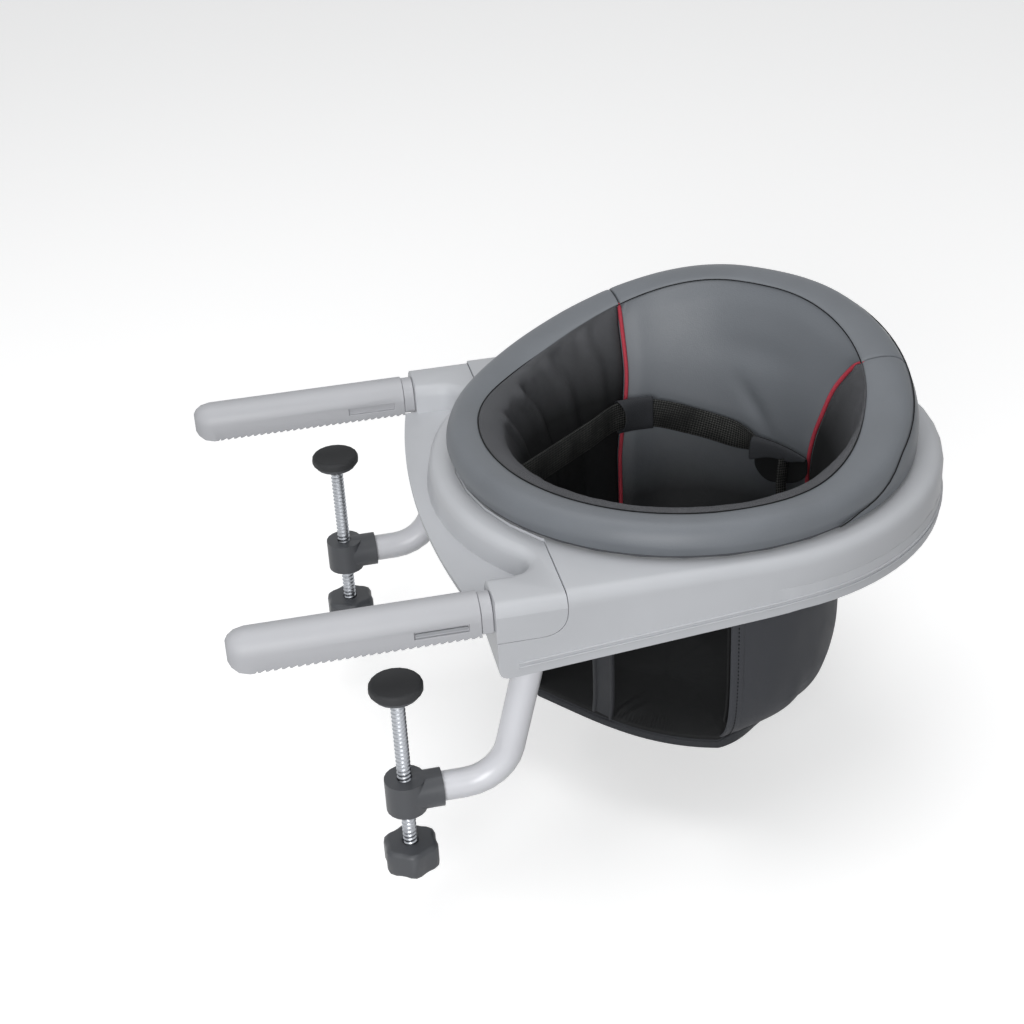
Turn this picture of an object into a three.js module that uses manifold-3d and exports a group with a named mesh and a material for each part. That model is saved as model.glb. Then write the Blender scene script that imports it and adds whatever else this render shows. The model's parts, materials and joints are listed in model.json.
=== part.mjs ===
// A hook-on table chair: a horseshoe base with two arms that lie on a table top, two lower arms with
// screw clamps that grip the table from below, and a padded bucket seat that turns in the base.
// Millimetres. The table top is z = 0, its edge is y = 0, and the arms point to -Y over the table.
import * as THREE from 'three';
import { mergeVertices } from 'three/addons/utils/BufferGeometryUtils.js';
import Module from 'manifold-3d';

const wasm = await Module();
wasm.setup();

// General fits
const SEAT_GAP = 0.3; // between two pieces that rest on each other
const SEAM_GAP = 0.4; // between two mouldings or two sewn pieces
const WALL = 3; // thickness of the base's mouldings
const RING_SEGMENTS = 36; // facets round the large rings
const SCREW_SEGMENTS = 10; // facets round a small screw

// The opening that the seat turns in, which sizes the chair
const OPENING_RADIUS = 178;
const DECK_LEDGE = 19.5; // width of the ledge round the opening
const RING_WALL_RADIUS = OPENING_RADIUS + DECK_LEDGE;
const RIDGE_RADIUS = RING_WALL_RADIUS + 24.5;
const BASE_HALF_WIDTH = RING_WALL_RADIUS + 15.5;
const SEAT_AXIS_Y = RIDGE_RADIUS - 12;
const SEAT_TURN = THREE.MathUtils.degToRad(45);

// Arms on the table
const ARM_X = BASE_HALF_WIDTH - 23; // of each arm's axis
const ARM_TUBE_RADIUS = 10;
const ARM_TUBE_WALL = 2;
const ARM_TUBE_HEIGHT = 14; // axis above the table
const ARM_TUBE_BACK = 115; // y of the end inside the base
const SLEEVE_LENGTH = 195;
const SLEEVE_WIDTH = 33;
const SLEEVE_HEIGHT = 31;
const SLEEVE_TIP_ROUND = 16;
const SLEEVE_TIP_TAPER = 0.75; // how strongly the tip closes
const SLEEVE_END_WALL = 11;
const TOOTH_PITCH = 6.1;
const TOOTH_DEPTH = 1.8;
const TOOTH_WIDTH = 8; // how far the teeth reach in from each lower edge
const SLOT_LENGTH = 42;
const SLOT_HEIGHT = 7;
const SLOT_DEPTH = 2.5;
const SLOT_Z = 11;
const SLOT_FROM_HUB_END = 10;
const CLIP_HEIGHT = 2.4;
const COLLAR_LENGTH = 9.4;
const COLLAR_INSET = 1.6; // how much smaller the collar is than the sleeve

// Base
const BASE_BACK_CENTRE = SEAT_AXIS_Y + 14; // y of the centre of the round back
const DECK_TOP = 32;
const SHOULDER_ROUND = 10;
const BOTTOM_FRONT = -37.5;
const BOTTOM_BACK = -17;
const BOTTOM_KNEE = SEAT_AXIS_Y + 40; // y where the sloping lower edge turns level
const BOTTOM_CORNER = 9;
const HUB_FRONT = 4;
const HUB_INNER = BASE_HALF_WIDTH - 50; // half distance between the hubs' inner walls
const RIDGE_DRAFT = 3;
const RIDGE_ROUND = 9;
const VALLEY_FILLET = 15;
const COVER_TOP = 29.5;
const COVER_BACK = 61; // y of the joint between the front cover and the shell
const COVER_LOW = -4;
const COVER_CORNER = 22;
const SHELF_TOP = 5;
const SHELF_BOTTOM = 1;
const SHELF_FRONT = -24; // y at the middle
const SHELF_EDGE_RADIUS = 816;
const SHELF_HALF_WIDTH = ARM_X - 22;
const PLATE_THICKNESS = 2.5; // underside plate
const PLATE_INSET = 2;

// Sockets in the hubs
const SOCKET_HALF_WIDTH = 18.5;
const SOCKET_FRONT = 10;
const SOCKET_BACK = 78;
const SOCKET_SCREW_YS = [58, 70];
const SOCKET_SCREW_RADIUS = 2;
const SOCKET_SCREW_LENGTH = 20;
const SCREW_HEAD_RADIUS = 4;
const SCREW_HEAD_HEIGHT = 1.6;

// Lower arms: a tube that slants forward, bends and ends in a clamp head
const LOWER_TUBE_RADIUS = 12.5;
const LOWER_TUBE_WALL = 1.5;
const LOWER_TUBE_SLANT = THREE.MathUtils.degToRad(13.8);
const LOWER_TUBE_Y = 30; // where the axis passes LOWER_TUBE_Z
const LOWER_TUBE_Z = -50;
const LOWER_TUBE_TOP = -4;
const LOWER_TUBE_BEND = 40;
const LOWER_TUBE_DROP = -150; // z of the level run
const STOP_RING_RADIUS = 15.5;
const STOP_RING_HEIGHT = 3;
const STOP_RING_DEPTH = 8; // along the tube, from its top end
const CLAMP_Y = -75;
const CLAMP_TUBE_INSERT = 19; // how far short of the screw the tube ends
const HEAD_RADIUS = 17;
const HEAD_HEIGHT = 30;
const HEAD_SOCKET_LENGTH = 30;
const NUT_RADIUS = 10;
const NUT_HEIGHT = 11;
const NUT_PROUD = 4;
const TABLE_THICKNESS = 40;
const PAD_RADIUS = 22;
const PAD_HEIGHT = 8;
const CUP_RADIUS = 19;
const CUP_HEIGHT = 8;
const CUP_SOCKET_DEPTH = 5;
const CLAMP_SCREW_RADIUS = 6;
const KNOB_TOP = -200;
const KNOB_RADIUS = 24;
const KNOB_HEIGHT = 25;
const KNOB_LOBES = 6;
const KNOB_LOBE_DEPTH = 3;
const KNOB_BORE_DEPTH = 18;
const KNOB_CAP_RADIUS = 12;
const KNOB_CAP_HEIGHT = 2;

// Turning seat: bearing in the base
const GLIDE_INNER = OPENING_RADIUS + 3;
const GLIDE_OUTER = RING_WALL_RADIUS - 3.5;
const GLIDE_HEIGHT = 1.4;
const FLANGE_INNER = OPENING_RADIUS - 13;
const FLANGE_OUTER = RING_WALL_RADIUS + 0.5;
const FLANGE_HEIGHT = 3;
const SPIGOT_INNER = OPENING_RADIUS - 10;
const SPIGOT_OUTER = OPENING_RADIUS - 1.5;
const RETAINER_OUTER = OPENING_RADIUS + 14;
const RETAINER_HEIGHT = 8;
const LIFT_PLAY = 0.7; // between the retainer and the deck
const RETAINER_SCREWS = 4;
const RETAINER_SCREW_RADIUS = 1.8;
const RETAINER_SCREW_LENGTH = 12;
const DETENT_NOTCHES = 4;
const DETENT_DEPTH = 2.5;
const DETENT_AT = THREE.MathUtils.degToRad(90); // direction from the seat axis, at the back of the base
const DETENT_DROP = 5.6; // axis of the plunger below the retainer's top
const PLUNGER_RADIUS = 2.5;
const PLUNGER_LENGTH = 14;
const PLUNGER_NOSE = 5; // solid length ahead of the spring's bore
const PLUNGER_TRAVEL = 3;
const SPRING_RADIUS = 1.15; // of the coil's centre line
const SPRING_WIRE = 0.4; // radius
const SPRING_TURNS = 4;
const SPRING_PITCH = 1.7;
const DETENT_WALL = 1.5;

// Padded rim of the seat
const RIM_OUTER = FLANGE_OUTER + 5.5;
const RIM_INNER = FLANGE_INNER + 2;
const RIM_FRONT_TOP = 62;
const RIM_BACK_TOP = 118;
const RIM_BACK_FULL = 5; // degrees from straight back where the rim starts to fall
const RIM_BACK_END = 115; // degrees from straight back where it reaches the front's height
const RIM_SEAM = 48; // degrees from straight back
const RIM_LIP_BOTTOM = 33.6;
const RIM_LIP_ROUND = 1.6;
const RIM_SWELL = 1.5; // bulge of the outer wall at the back
const SKIRT_HALF_SPAN = 105;
const SKIRT_THICKNESS = 1.4;
const SKIRT_TOP = 55;

// Hanging bag, its lining and the seat pan
const BAG_TOP = 36;
const BAG_RING_GAP = 1.5; // between the bag's top and the seat ring
const BAG_TOP_RADIUS = FLANGE_INNER - BAG_RING_GAP;
const BAG_NECK_Z = -20;
const BAG_NECK_RADIUS = BAG_TOP_RADIUS - 20.5;
const BAG_BOTTOM = -209;
const BAG_BACK_BOTTOM_RADIUS = BAG_NECK_RADIUS - 37;
const BAG_HEM_BOTTOM_RADIUS = BAG_NECK_RADIUS - 21;
const BAG_CLOSING = 4; // how late it closes towards its bottom
const BAG_LEAN = 7; // how far its bottom hangs to the left
const BAG_HEM = 133; // degrees from straight back
const BAG_CLOTH = 2.6;
const LINING_PAD = 9;
const LINING_STEP_OUT = 9; // height over which it widens above the bag
const LINING_CLEARANCE = 1.8; // inside the bag
const LINING_FRONT_BOTTOM = -5;
const LINING_SIDE_BOTTOM = -188;
const LINING_RIM_GAP = 2.4; // between the lining's top and the rim pads
const LINING_BELOW_RIM = 6;
const PANEL_BELOW_RIM = 11;
const PANEL_CROWN = 3; // extra padding in its middle
const PIPING_RADIUS = 2;
const PIPING_GAP = 0.6; // between it and the panels beside it
const PIPING_SWING = 16; // degrees that the near piping leans to the back on its way down
const PAN_BOTTOM = -219;
const PAN_ROUND = 4; // of its lower edge
const PAN_PROUD = 1; // beyond the bag round it
const PAN_CROWN = 4;
const PAN_MARGIN = 12; // flat edge under the bag
const PAN_SLOPE = 28; // width of the slope up to the crown
const PAN_FRONT = BAG_BACK_BOTTOM_RADIUS - 6; // distance of the front edge from the seat axis
const STRAP_WIDTH = 20;
const STRAP_THICKNESS = 3;
const STRAP_LEAN = 24; // how far its lower end is to the left

// Waist belt
const WEBBING_WIDTH = 26;
const WEBBING_THICKNESS = 1.8;
const BELT_STAND_OFF = 6; // between the belt and the back panel
const BELT_FROM = 104; // degrees from straight back
const BELT_TO = -58;
const BELT_END_Z = -38; // where it is sewn on
const KEEPER_SPANS = { left: [56, 40.5], right: [-9, -36] }; // degrees from straight back
const KEEPER_WIDTH = 33;
const KEEPER_THICKNESS = 2;

// Levels that follow from the sizes above
const FLANGE_BOTTOM = DECK_TOP + GLIDE_HEIGHT + 2 * SEAT_GAP;
const FLANGE_TOP = FLANGE_BOTTOM + FLANGE_HEIGHT;
const DECK_BOTTOM = DECK_TOP - WALL;
const RETAINER_TOP = DECK_BOTTOM - LIFT_PLAY;
const SPIGOT_BOTTOM = RETAINER_TOP + SEAT_GAP;
const HUB_FRONT_FACE = HUB_FRONT - SEAT_GAP;
const SLEEVE_START = HUB_FRONT_FACE - COLLAR_LENGTH - SEAT_GAP;
const SLEEVE_END = SLEEVE_START - SLEEVE_LENGTH;
const TUBE_BORE = ARM_TUBE_RADIUS + SEAT_GAP;
const SCREW_BORE = CLAMP_SCREW_RADIUS + SEAT_GAP;
const HEAD_TOP = LOWER_TUBE_DROP + HEAD_HEIGHT / 2;
const HEAD_BOTTOM = LOWER_TUBE_DROP - HEAD_HEIGHT / 2;
const CUP_TOP = -TABLE_THICKNESS - PAD_HEIGHT - SEAT_GAP;
const CUP_BOTTOM = CUP_TOP - CUP_HEIGHT;
const SCREW_TOP = CUP_BOTTOM + CUP_SOCKET_DEPTH - SEAT_GAP;
const PAN_TOP = BAG_BOTTOM - SEAM_GAP;
const LINING_TOP_RADIUS = RIM_INNER - LINING_RIM_GAP;
const LINING_NECK_RADIUS = BAG_NECK_RADIUS - BAG_CLOTH - LINING_CLEARANCE;
const BELT_RADIUS = LINING_NECK_RADIUS - LINING_PAD - PANEL_CROWN - BELT_STAND_OFF;

const { degToRad, radToDeg, lerp, smoothstep, clamp } = THREE.MathUtils;
const sides = { left: -1, right: 1 };

// Materials
const plastic = (color) => new THREE.MeshStandardMaterial({ color, roughness: 0.55, metalness: 0 });
const cloth = (color) => new THREE.MeshStandardMaterial({ color, roughness: 0.85, metalness: 0 });
const metal = (color) => new THREE.MeshStandardMaterial({ color, roughness: 0.35, metalness: 0.8 });
const baseGrey = plastic(0xbfc1c5);
const sleeveGrey = plastic(0xcccdd0);
const darkPlastic = plastic(0x45474b);
const whitePaint = new THREE.MeshStandardMaterial({ color: 0xd9dade, roughness: 0.4, metalness: 0.1 });
const steel = metal(0xa8abb0);
const rubber = plastic(0x2b2c2e);
const vinylGrey = cloth(0x70747a);
const pipingRed = cloth(0xb83c4b);
const blackCloth = cloth(0x34363a);
const webbing = cloth(0x1f2022);

// Closed solids and booleans

function closed(geometry) {
  const bare = geometry.clone();
  bare.deleteAttribute('normal');
  bare.deleteAttribute('uv');
  const merged = mergeVertices(bare, 1e-4);
  const corner = [0, 1, 2].map(() => new THREE.Vector3());
  const kept = [];
  let volume = 0;
  for (let i = 0; i < merged.index.count; i += 3) {
    const ids = [0, 1, 2].map((k) => merged.index.getX(i + k));
    if (new Set(ids).size === 3) {
      corner.forEach((point, k) => point.fromBufferAttribute(merged.attributes.position, ids[k]));
      volume += corner[0].dot(corner[1].clone().cross(corner[2]));
      kept.push(ids);
    }
  }
  merged.setIndex(kept.flatMap(([a, b, c]) => (volume > 0 ? [a, b, c] : [a, c, b])));
  return merged;
}

function solid(geometry) {
  const skin = closed(geometry);
  return new wasm.Manifold(new wasm.Mesh({
    numProp: 3,
    vertProperties: Float32Array.from(skin.attributes.position.array),
    triVerts: Uint32Array.from(skin.index.array),
  }));
}

function skinOf(body) {
  const { vertProperties, triVerts } = body.getMesh();
  const geometry = new THREE.BufferGeometry();
  geometry.setAttribute('position', new THREE.BufferAttribute(vertProperties, 3));
  geometry.setIndex(new THREE.BufferAttribute(triVerts, 1));
  return geometry;
}

const cut = (body, ...tools) => tools.reduce((left, tool) => left.subtract(tool), body);
const join = (body, ...others) => others.reduce((sum, other) => sum.add(other), body);

// Rings of points joined into one skin that is closed at both ends
function loft(rings, endTriangles = capTriangles) {
  const count = rings[0].length;
  const index = [];
  for (let i = 0; i < rings.length - 1; i += 1) {
    const near = i * count;
    const far = near + count;
    for (let j = 0; j < count; j += 1) {
      const k = (j + 1) % count;
      index.push(near + j, near + k, far + k, near + j, far + k, far + j);
    }
  }
  const lastStart = (rings.length - 1) * count;
  endTriangles(rings[0]).forEach(([a, b, c]) => index.push(c, b, a));
  endTriangles(rings.at(-1)).forEach(([a, b, c]) => index.push(lastStart + a, lastStart + b, lastStart + c));
  const geometry = new THREE.BufferGeometry().setFromPoints(rings.flat());
  geometry.setIndex(index);
  return geometry;
}

function capTriangles(ring) {
  const normal = new THREE.Vector3();
  ring.forEach((point, i) => normal.add(point.clone().cross(ring[(i + 1) % ring.length])));
  const across = ring[1].clone().sub(ring[0]).normalize();
  const up = normal.normalize().clone().cross(across);
  const flat = ring.map((point) => new THREE.Vector2(point.dot(across), point.dot(up)));
  return THREE.ShapeUtils.triangulateShape(flat, []);
}

// The end of a thin wall, whose ring runs up one face and down the other
function stripTriangles(ring) {
  const last = ring.length - 1;
  const triangles = [];
  for (let i = 0; i < ring.length / 2 - 1; i += 1) {
    triangles.push([i, i + 1, last - 1 - i], [i, last - 1 - i, last - i]);
  }
  return triangles;
}

// Basic shapes. Outlines are [a, b] pairs.

const vectors = (pairs) => pairs.map(([a, b]) => new THREE.Vector2(a, b));

function upright(shape, bottom, top, curveSegments = 24) {
  const options = { depth: top - bottom, bevelEnabled: false, curveSegments };
  return new THREE.ExtrudeGeometry(shape, options).translate(0, 0, bottom);
}

// A shape drawn in (y, z), extruded along x.
function alongX(shape, from, to, curveSegments = 8) {
  const turn = new THREE.Matrix4().makeBasis(
    new THREE.Vector3(0, 1, 0),
    new THREE.Vector3(0, 0, 1),
    new THREE.Vector3(1, 0, 0),
  );
  return upright(shape, from, to, curveSegments).applyMatrix4(turn);
}

// A profile of [radius, height] pairs turned about the z axis.
function turned(profile, segments = 20) {
  return new THREE.LatheGeometry(vectors(profile), segments).rotateX(Math.PI / 2);
}

function flatRing(inner, outer, bottom, top, segments = RING_SEGMENTS) {
  return turned([[inner, bottom], [outer, bottom], [outer, top], [inner, top], [inner, bottom]], segments);
}

function disc(radius, bottom, top, segments = 20) {
  return turned([[0, bottom], [radius, bottom], [radius, top], [0, top]], segments);
}

function rodBetween(radius, from, to, segments = 16) {
  const run = to.clone().sub(from);
  const rod = new THREE.CylinderGeometry(radius, radius, run.length(), segments);
  const turn = new THREE.Quaternion().setFromUnitVectors(new THREE.Vector3(0, 1, 0), run.normalize());
  return rod.applyQuaternion(turn).translate(...from.clone().add(to).multiplyScalar(0.5).toArray());
}

function block(xs, ys, zs) {
  const size = [xs, ys, zs].map(([low, high]) => high - low);
  const middle = [xs, ys, zs].map(([low, high]) => (low + high) / 2);
  return new THREE.BoxGeometry(...size).translate(...middle);
}

const at = (x, y, z) => new THREE.Vector3(x, y, z);

// A round tube section at a point of a path, square to its direction.
function circleAt(centre, direction, radius, segments) {
  const side = at(1, 0, 0).addScaledVector(direction, -direction.x).normalize();
  const up = direction.clone().cross(side);
  return Array.from({ length: segments }, (_, i) => {
    const angle = (2 * Math.PI * i) / segments;
    const offset = side.clone().multiplyScalar(radius * Math.cos(angle));
    return offset.addScaledVector(up, radius * Math.sin(angle)).add(centre);
  });
}

// Scene graph

const chair = new THREE.Group();
const seat = new THREE.Group();
seat.position.y = SEAT_AXIS_Y;
seat.rotation.z = SEAT_TURN;
chair.add(seat);

function place(parent, name, shape, material) {
  const geometry = shape.isBufferGeometry ? closed(shape) : skinOf(shape);
  geometry.computeVertexNormals();
  const mesh = new THREE.Mesh(geometry, material);
  mesh.name = name;
  parent.add(mesh);
}

// Base: a hollow horseshoe with a deck, two hubs and a front cover with a shelf over the table

// Outline of the upper part at one level, drawn in by its own amount at the outside, inside and front.
function upperOutline(z, outer, inner, front) {
  const valleyX = HUB_INNER - VALLEY_FILLET;
  const reach = RIDGE_RADIUS + VALLEY_FILLET;
  const valleyY = SEAT_AXIS_Y - Math.sqrt(reach ** 2 - valleyX ** 2);
  const tangent = Math.atan2(valleyY - SEAT_AXIS_Y, valleyX);
  const half = [];
  const ridgeSteps = 7;
  for (let i = 0; i <= ridgeSteps; i += 1) {
    const angle = lerp(-Math.PI / 2, tangent, i / ridgeSteps);
    const radius = RIDGE_RADIUS - inner;
    half.push([radius * Math.cos(angle), SEAT_AXIS_Y + radius * Math.sin(angle)]);
  }
  const filletSteps = 5;
  for (let i = 1; i <= filletSteps; i += 1) {
    const angle = lerp(tangent + Math.PI, 0, i / filletSteps);
    const radius = VALLEY_FILLET + inner;
    half.push([valleyX + radius * Math.cos(angle), valleyY + radius * Math.sin(angle)]);
  }
  half.push([HUB_INNER + inner, HUB_FRONT + front]);
  const radius = BASE_HALF_WIDTH - outer;
  half.push([radius, HUB_FRONT + front]);
  const backSteps = 12;
  for (let i = 0; i <= backSteps; i += 1) {
    const angle = (Math.PI / 2) * (i / backSteps);
    half.push([radius * Math.cos(angle), BASE_BACK_CENTRE + radius * Math.sin(angle)]);
  }
  const mirrored = half.slice(1, -1).reverse().map(([x, y]) => [-x, y]);
  return [...half, ...mirrored].map(([x, y]) => at(x, y, z));
}

function upperBody(top) {
  const shoulder = top - SHOULDER_ROUND;
  const rings = [upperOutline(SHELF_BOTTOM, 0, 0, 0)];
  const steps = 3;
  for (let i = 0; i <= steps; i += 1) {
    const angle = (Math.PI / 2) * (i / steps);
    const inward = 1 - Math.cos(angle);
    const z = shoulder + SHOULDER_ROUND * Math.sin(angle);
    const ridgeInward = RIDGE_DRAFT + RIDGE_ROUND * inward;
    rings.push(upperOutline(z, SHOULDER_ROUND * inward, ridgeInward, WALL * 0.5 * inward));
  }
  return solid(loft(rings));
}

function upperHollow(top) {
  const inset = WALL + RIDGE_DRAFT;
  const roundInset = 0.5 * SHOULDER_ROUND;
  return solid(loft([
    upperOutline(SHELF_BOTTOM - WALL, WALL, WALL, WALL),
    upperOutline(top - SHOULDER_ROUND, WALL, inset, WALL),
    upperOutline(top - WALL, WALL + roundInset, inset + roundInset, WALL),
  ]));
}

// Plan of the base below the shelf, drawn in by an inset.
function lowerPlan(inset) {
  const half = BASE_HALF_WIDTH - inset;
  const shape = new THREE.Shape();
  shape.moveTo(-half, HUB_FRONT + inset);
  shape.lineTo(half, HUB_FRONT + inset);
  shape.lineTo(half, BASE_BACK_CENTRE);
  shape.absarc(0, BASE_BACK_CENTRE, half, 0, Math.PI, false);
  return shape;
}

const DEEP = -120; // below everything in the base
const WIDE = 400; // beyond everything in the base

// Everything below the sloping lower edge of the base, raised by an amount.
function belowEdge(raise) {
  const shape = new THREE.Shape();
  shape.moveTo(-WIDE, DEEP);
  shape.lineTo(-WIDE, BOTTOM_FRONT + BOTTOM_CORNER + raise);
  shape.lineTo(HUB_FRONT, BOTTOM_FRONT + BOTTOM_CORNER + raise);
  shape.quadraticCurveTo(HUB_FRONT, BOTTOM_FRONT + raise, HUB_FRONT + BOTTOM_CORNER, BOTTOM_FRONT + raise);
  shape.lineTo(BOTTOM_KNEE, BOTTOM_BACK + raise);
  shape.lineTo(2 * WIDE, BOTTOM_BACK + raise);
  shape.lineTo(2 * WIDE, DEEP);
  return solid(alongX(shape, -WIDE, WIDE, 5));
}

// The space of the front cover: ahead of its back edge and above its lower edge, outside the ring wall.
function coverSpace(gap) {
  const back = COVER_BACK - gap;
  const low = COVER_LOW + gap;
  const shape = new THREE.Shape();
  shape.moveTo(-WIDE, low);
  shape.lineTo(back - COVER_CORNER, low);
  shape.quadraticCurveTo(back, low, back, low + COVER_CORNER);
  shape.lineTo(back, WIDE);
  shape.lineTo(-WIDE, WIDE);
  const core = disc(RING_WALL_RADIUS + gap, -WIDE, WIDE, RING_SEGMENTS).translate(0, SEAT_AXIS_Y, 0);
  return cut(solid(alongX(shape, -WIDE, WIDE)), solid(core));
}

function shelf() {
  const centreY = SHELF_FRONT + SHELF_EDGE_RADIUS;
  const edge = Math.asin(SHELF_HALF_WIDTH / SHELF_EDGE_RADIUS);
  const shape = new THREE.Shape();
  shape.absarc(0, centreY, SHELF_EDGE_RADIUS, -Math.PI / 2 - edge, -Math.PI / 2 + edge, false);
  shape.lineTo(SHELF_HALF_WIDTH, HUB_FRONT + WALL);
  shape.lineTo(-SHELF_HALF_WIDTH, HUB_FRONT + WALL);
  return solid(upright(shape, SHELF_BOTTOM, SHELF_TOP, 16));
}

const seatTool = (geometry) => solid(geometry.translate(0, SEAT_AXIS_Y, 0));

function lowerTubeAxis(x, z) {
  return at(x, LOWER_TUBE_Y + (z - LOWER_TUBE_Z) * Math.tan(LOWER_TUBE_SLANT), z);
}

function buildBase() {
  const lowerBlock = () => solid(upright(lowerPlan(0), DEEP, SHELF_TOP));
  const lowerHollow = () => solid(upright(lowerPlan(WALL), 2 * DEEP, SHELF_BOTTOM));
  const hollow = (top) => upperHollow(top)
    .intersect(solid(upright(lowerPlan(WALL), DEEP, WIDE)))
    .add(lowerHollow());
  const bodyWith = (top) => cut(join(upperBody(top), lowerBlock()), hollow(top), belowEdge(0));

  const ringWall = cut(
    seatTool(flatRing(RING_WALL_RADIUS - WALL, RING_WALL_RADIUS, DEEP, DECK_BOTTOM + 0.5 * WALL)),
    belowEdge(PLATE_INSET + PLATE_THICKNESS + SEAT_GAP),
  );
  const opening = seatTool(disc(OPENING_RADIUS, DEEP, WIDE, RING_SEGMENTS));
  const detentHole = solid(detentRod(PLUNGER_RADIUS + SEAT_GAP, OPENING_RADIUS, RING_WALL_RADIUS + WALL));
  const shell = cut(join(bodyWith(DECK_TOP), ringWall), opening, coverSpace(0), detentHole);
  place(chair, 'base_shell', shell, baseGrey);

  const armHoles = Object.values(sides).map((side) => solid(rodBetween(
    TUBE_BORE,
    at(side * ARM_X, -WALL, ARM_TUBE_HEIGHT),
    at(side * ARM_X, HUB_FRONT + 2 * WALL, ARM_TUBE_HEIGHT),
  )));
  const cover = cut(join(bodyWith(COVER_TOP), shelf()).intersect(coverSpace(SEAM_GAP)), ...armHoles);
  place(chair, 'front_cover', cover, baseGrey);

  const tubeHoles = Object.values(sides).map((side) => solid(rodBetween(
    LOWER_TUBE_RADIUS + 2,
    lowerTubeAxis(side * ARM_X, LOWER_TUBE_TOP),
    lowerTubeAxis(side * ARM_X, 2 * LOWER_TUBE_Z),
  )));
  const screwHoles = socketScrewPlaces().map(([x, y]) => solid(
    disc(SOCKET_SCREW_RADIUS + SEAT_GAP, DEEP, 0, SCREW_SEGMENTS).translate(x, y, 0),
  ));
  const plate = cut(
    solid(upright(lowerPlan(WALL + SEAM_GAP), DEEP, 0)).subtract(belowEdge(PLATE_INSET)),
    cut(
      solid(block([-WIDE, WIDE], [-WIDE, 2 * WIDE], [DEEP, WIDE])),
      belowEdge(PLATE_INSET + PLATE_THICKNESS),
    ),
    seatTool(disc(RING_WALL_RADIUS - WALL, DEEP, WIDE, RING_SEGMENTS)),
    ...tubeHoles,
    ...screwHoles,
  );
  place(chair, 'base_underside', plate, baseGrey);
}

function socketScrewPlaces() {
  return Object.values(sides).flatMap((side) => SOCKET_SCREW_YS.map((y) => [side * ARM_X, y]));
}

// z of the sloping lower edge at a place along y
function edgeHeight(y) {
  const share = (y - HUB_FRONT - BOTTOM_CORNER) / (BOTTOM_KNEE - HUB_FRONT - BOTTOM_CORNER);
  return lerp(BOTTOM_FRONT, BOTTOM_BACK, clamp(share, 0, 1));
}

// Arms on the table

const SLEEVE_ARC_STEPS = 9;

// The sleeve's arch: straight sides and a round top, shrunk towards its middle at the tip.
function sleeveRing(y, inset) {
  const half = SLEEVE_WIDTH / 2 - inset;
  const spring = SLEEVE_HEIGHT - SLEEVE_WIDTH / 2;
  const ring = [at(-half, y, inset), at(half, y, inset)];
  for (let i = 0; i <= SLEEVE_ARC_STEPS; i += 1) {
    const angle = (Math.PI * i) / SLEEVE_ARC_STEPS;
    ring.push(at(half * Math.cos(angle), y, spring + half * Math.sin(angle)));
  }
  return ring;
}

function sleeveTeeth() {
  const shape = new THREE.Shape();
  const count = Math.floor((SLEEVE_LENGTH - SLEEVE_TIP_ROUND) / TOOTH_PITCH);
  shape.moveTo(SLEEVE_START, -TOOTH_DEPTH);
  for (let i = 0; i < count; i += 1) {
    const y = SLEEVE_START - (i + 0.4) * TOOTH_PITCH;
    shape.lineTo(y, -0.5 * TOOTH_DEPTH);
    shape.lineTo(y, TOOTH_DEPTH);
  }
  shape.lineTo(SLEEVE_START - count * TOOTH_PITCH, -TOOTH_DEPTH);
  const edge = SLEEVE_WIDTH / 2;
  return [-1, 1].map((side) => {
    const [low, high] = [side * (edge + 1), side * (edge - TOOTH_WIDTH)].sort((a, b) => a - b);
    return solid(alongX(shape, low, high));
  });
}

function slotBlock(side, height, depth, trim) {
  const from = SLEEVE_START - SLOT_FROM_HUB_END;
  const face = SLEEVE_WIDTH / 2;
  const xs = [side * (face - depth), side * (face + trim)].sort((a, b) => a - b);
  return block(
    xs,
    [from - SLOT_LENGTH - trim, from + trim],
    [SLOT_Z - height / 2, SLOT_Z + height / 2],
  );
}

function buildArm(name, side) {
  const arm = new THREE.Group();
  arm.position.x = side * ARM_X;
  chair.add(arm);

  const tubeEnd = SLEEVE_END + SLEEVE_END_WALL;
  const centre = (y) => at(0, y, ARM_TUBE_HEIGHT);
  const tube = cut(
    solid(rodBetween(ARM_TUBE_RADIUS, centre(tubeEnd), centre(ARM_TUBE_BACK))),
    solid(rodBetween(ARM_TUBE_RADIUS - ARM_TUBE_WALL, centre(tubeEnd - 1), centre(ARM_TUBE_BACK + 1))),
  );
  place(arm, `upper_arm_tube_${name}`, tube, steel);

  const tip = SLEEVE_TIP_ROUND;
  const tipRings = [0, 30, 55, 75].map((angle) => {
    const share = degToRad(angle);
    const y = SLEEVE_END + tip * (1 - Math.sin(share));
    return sleeveRing(y, SLEEVE_TIP_TAPER * tip * (1 - Math.cos(share)));
  });
  const sleeve = cut(
    solid(loft([sleeveRing(SLEEVE_START, 0), ...tipRings])),
    solid(rodBetween(TUBE_BORE, centre(tubeEnd - SEAT_GAP), centre(SLEEVE_START + 1))),
    ...sleeveTeeth(),
    ...[-1, 1].map((face) => solid(slotBlock(face, SLOT_HEIGHT, SLOT_DEPTH, 0.5))),
  );
  place(arm, `arm_sleeve_${name}`, sleeve, sleeveGrey);
  const clipDepth = SLOT_DEPTH - SEAT_GAP;
  place(arm, `sleeve_clip_${name}`, slotBlock(side, CLIP_HEIGHT, clipDepth, -0.6), sleeveGrey);

  const collar = cut(
    solid(loft([HUB_FRONT_FACE, HUB_FRONT_FACE - COLLAR_LENGTH].map((y) => sleeveRing(y, COLLAR_INSET)))),
    solid(rodBetween(TUBE_BORE, centre(HUB_FRONT + 1), centre(SLEEVE_START))),
  );
  place(arm, `arm_collar_${name}`, collar, baseGrey);
}

// Sockets in the hubs, which hold the arm tubes and carry the lower arms

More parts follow.
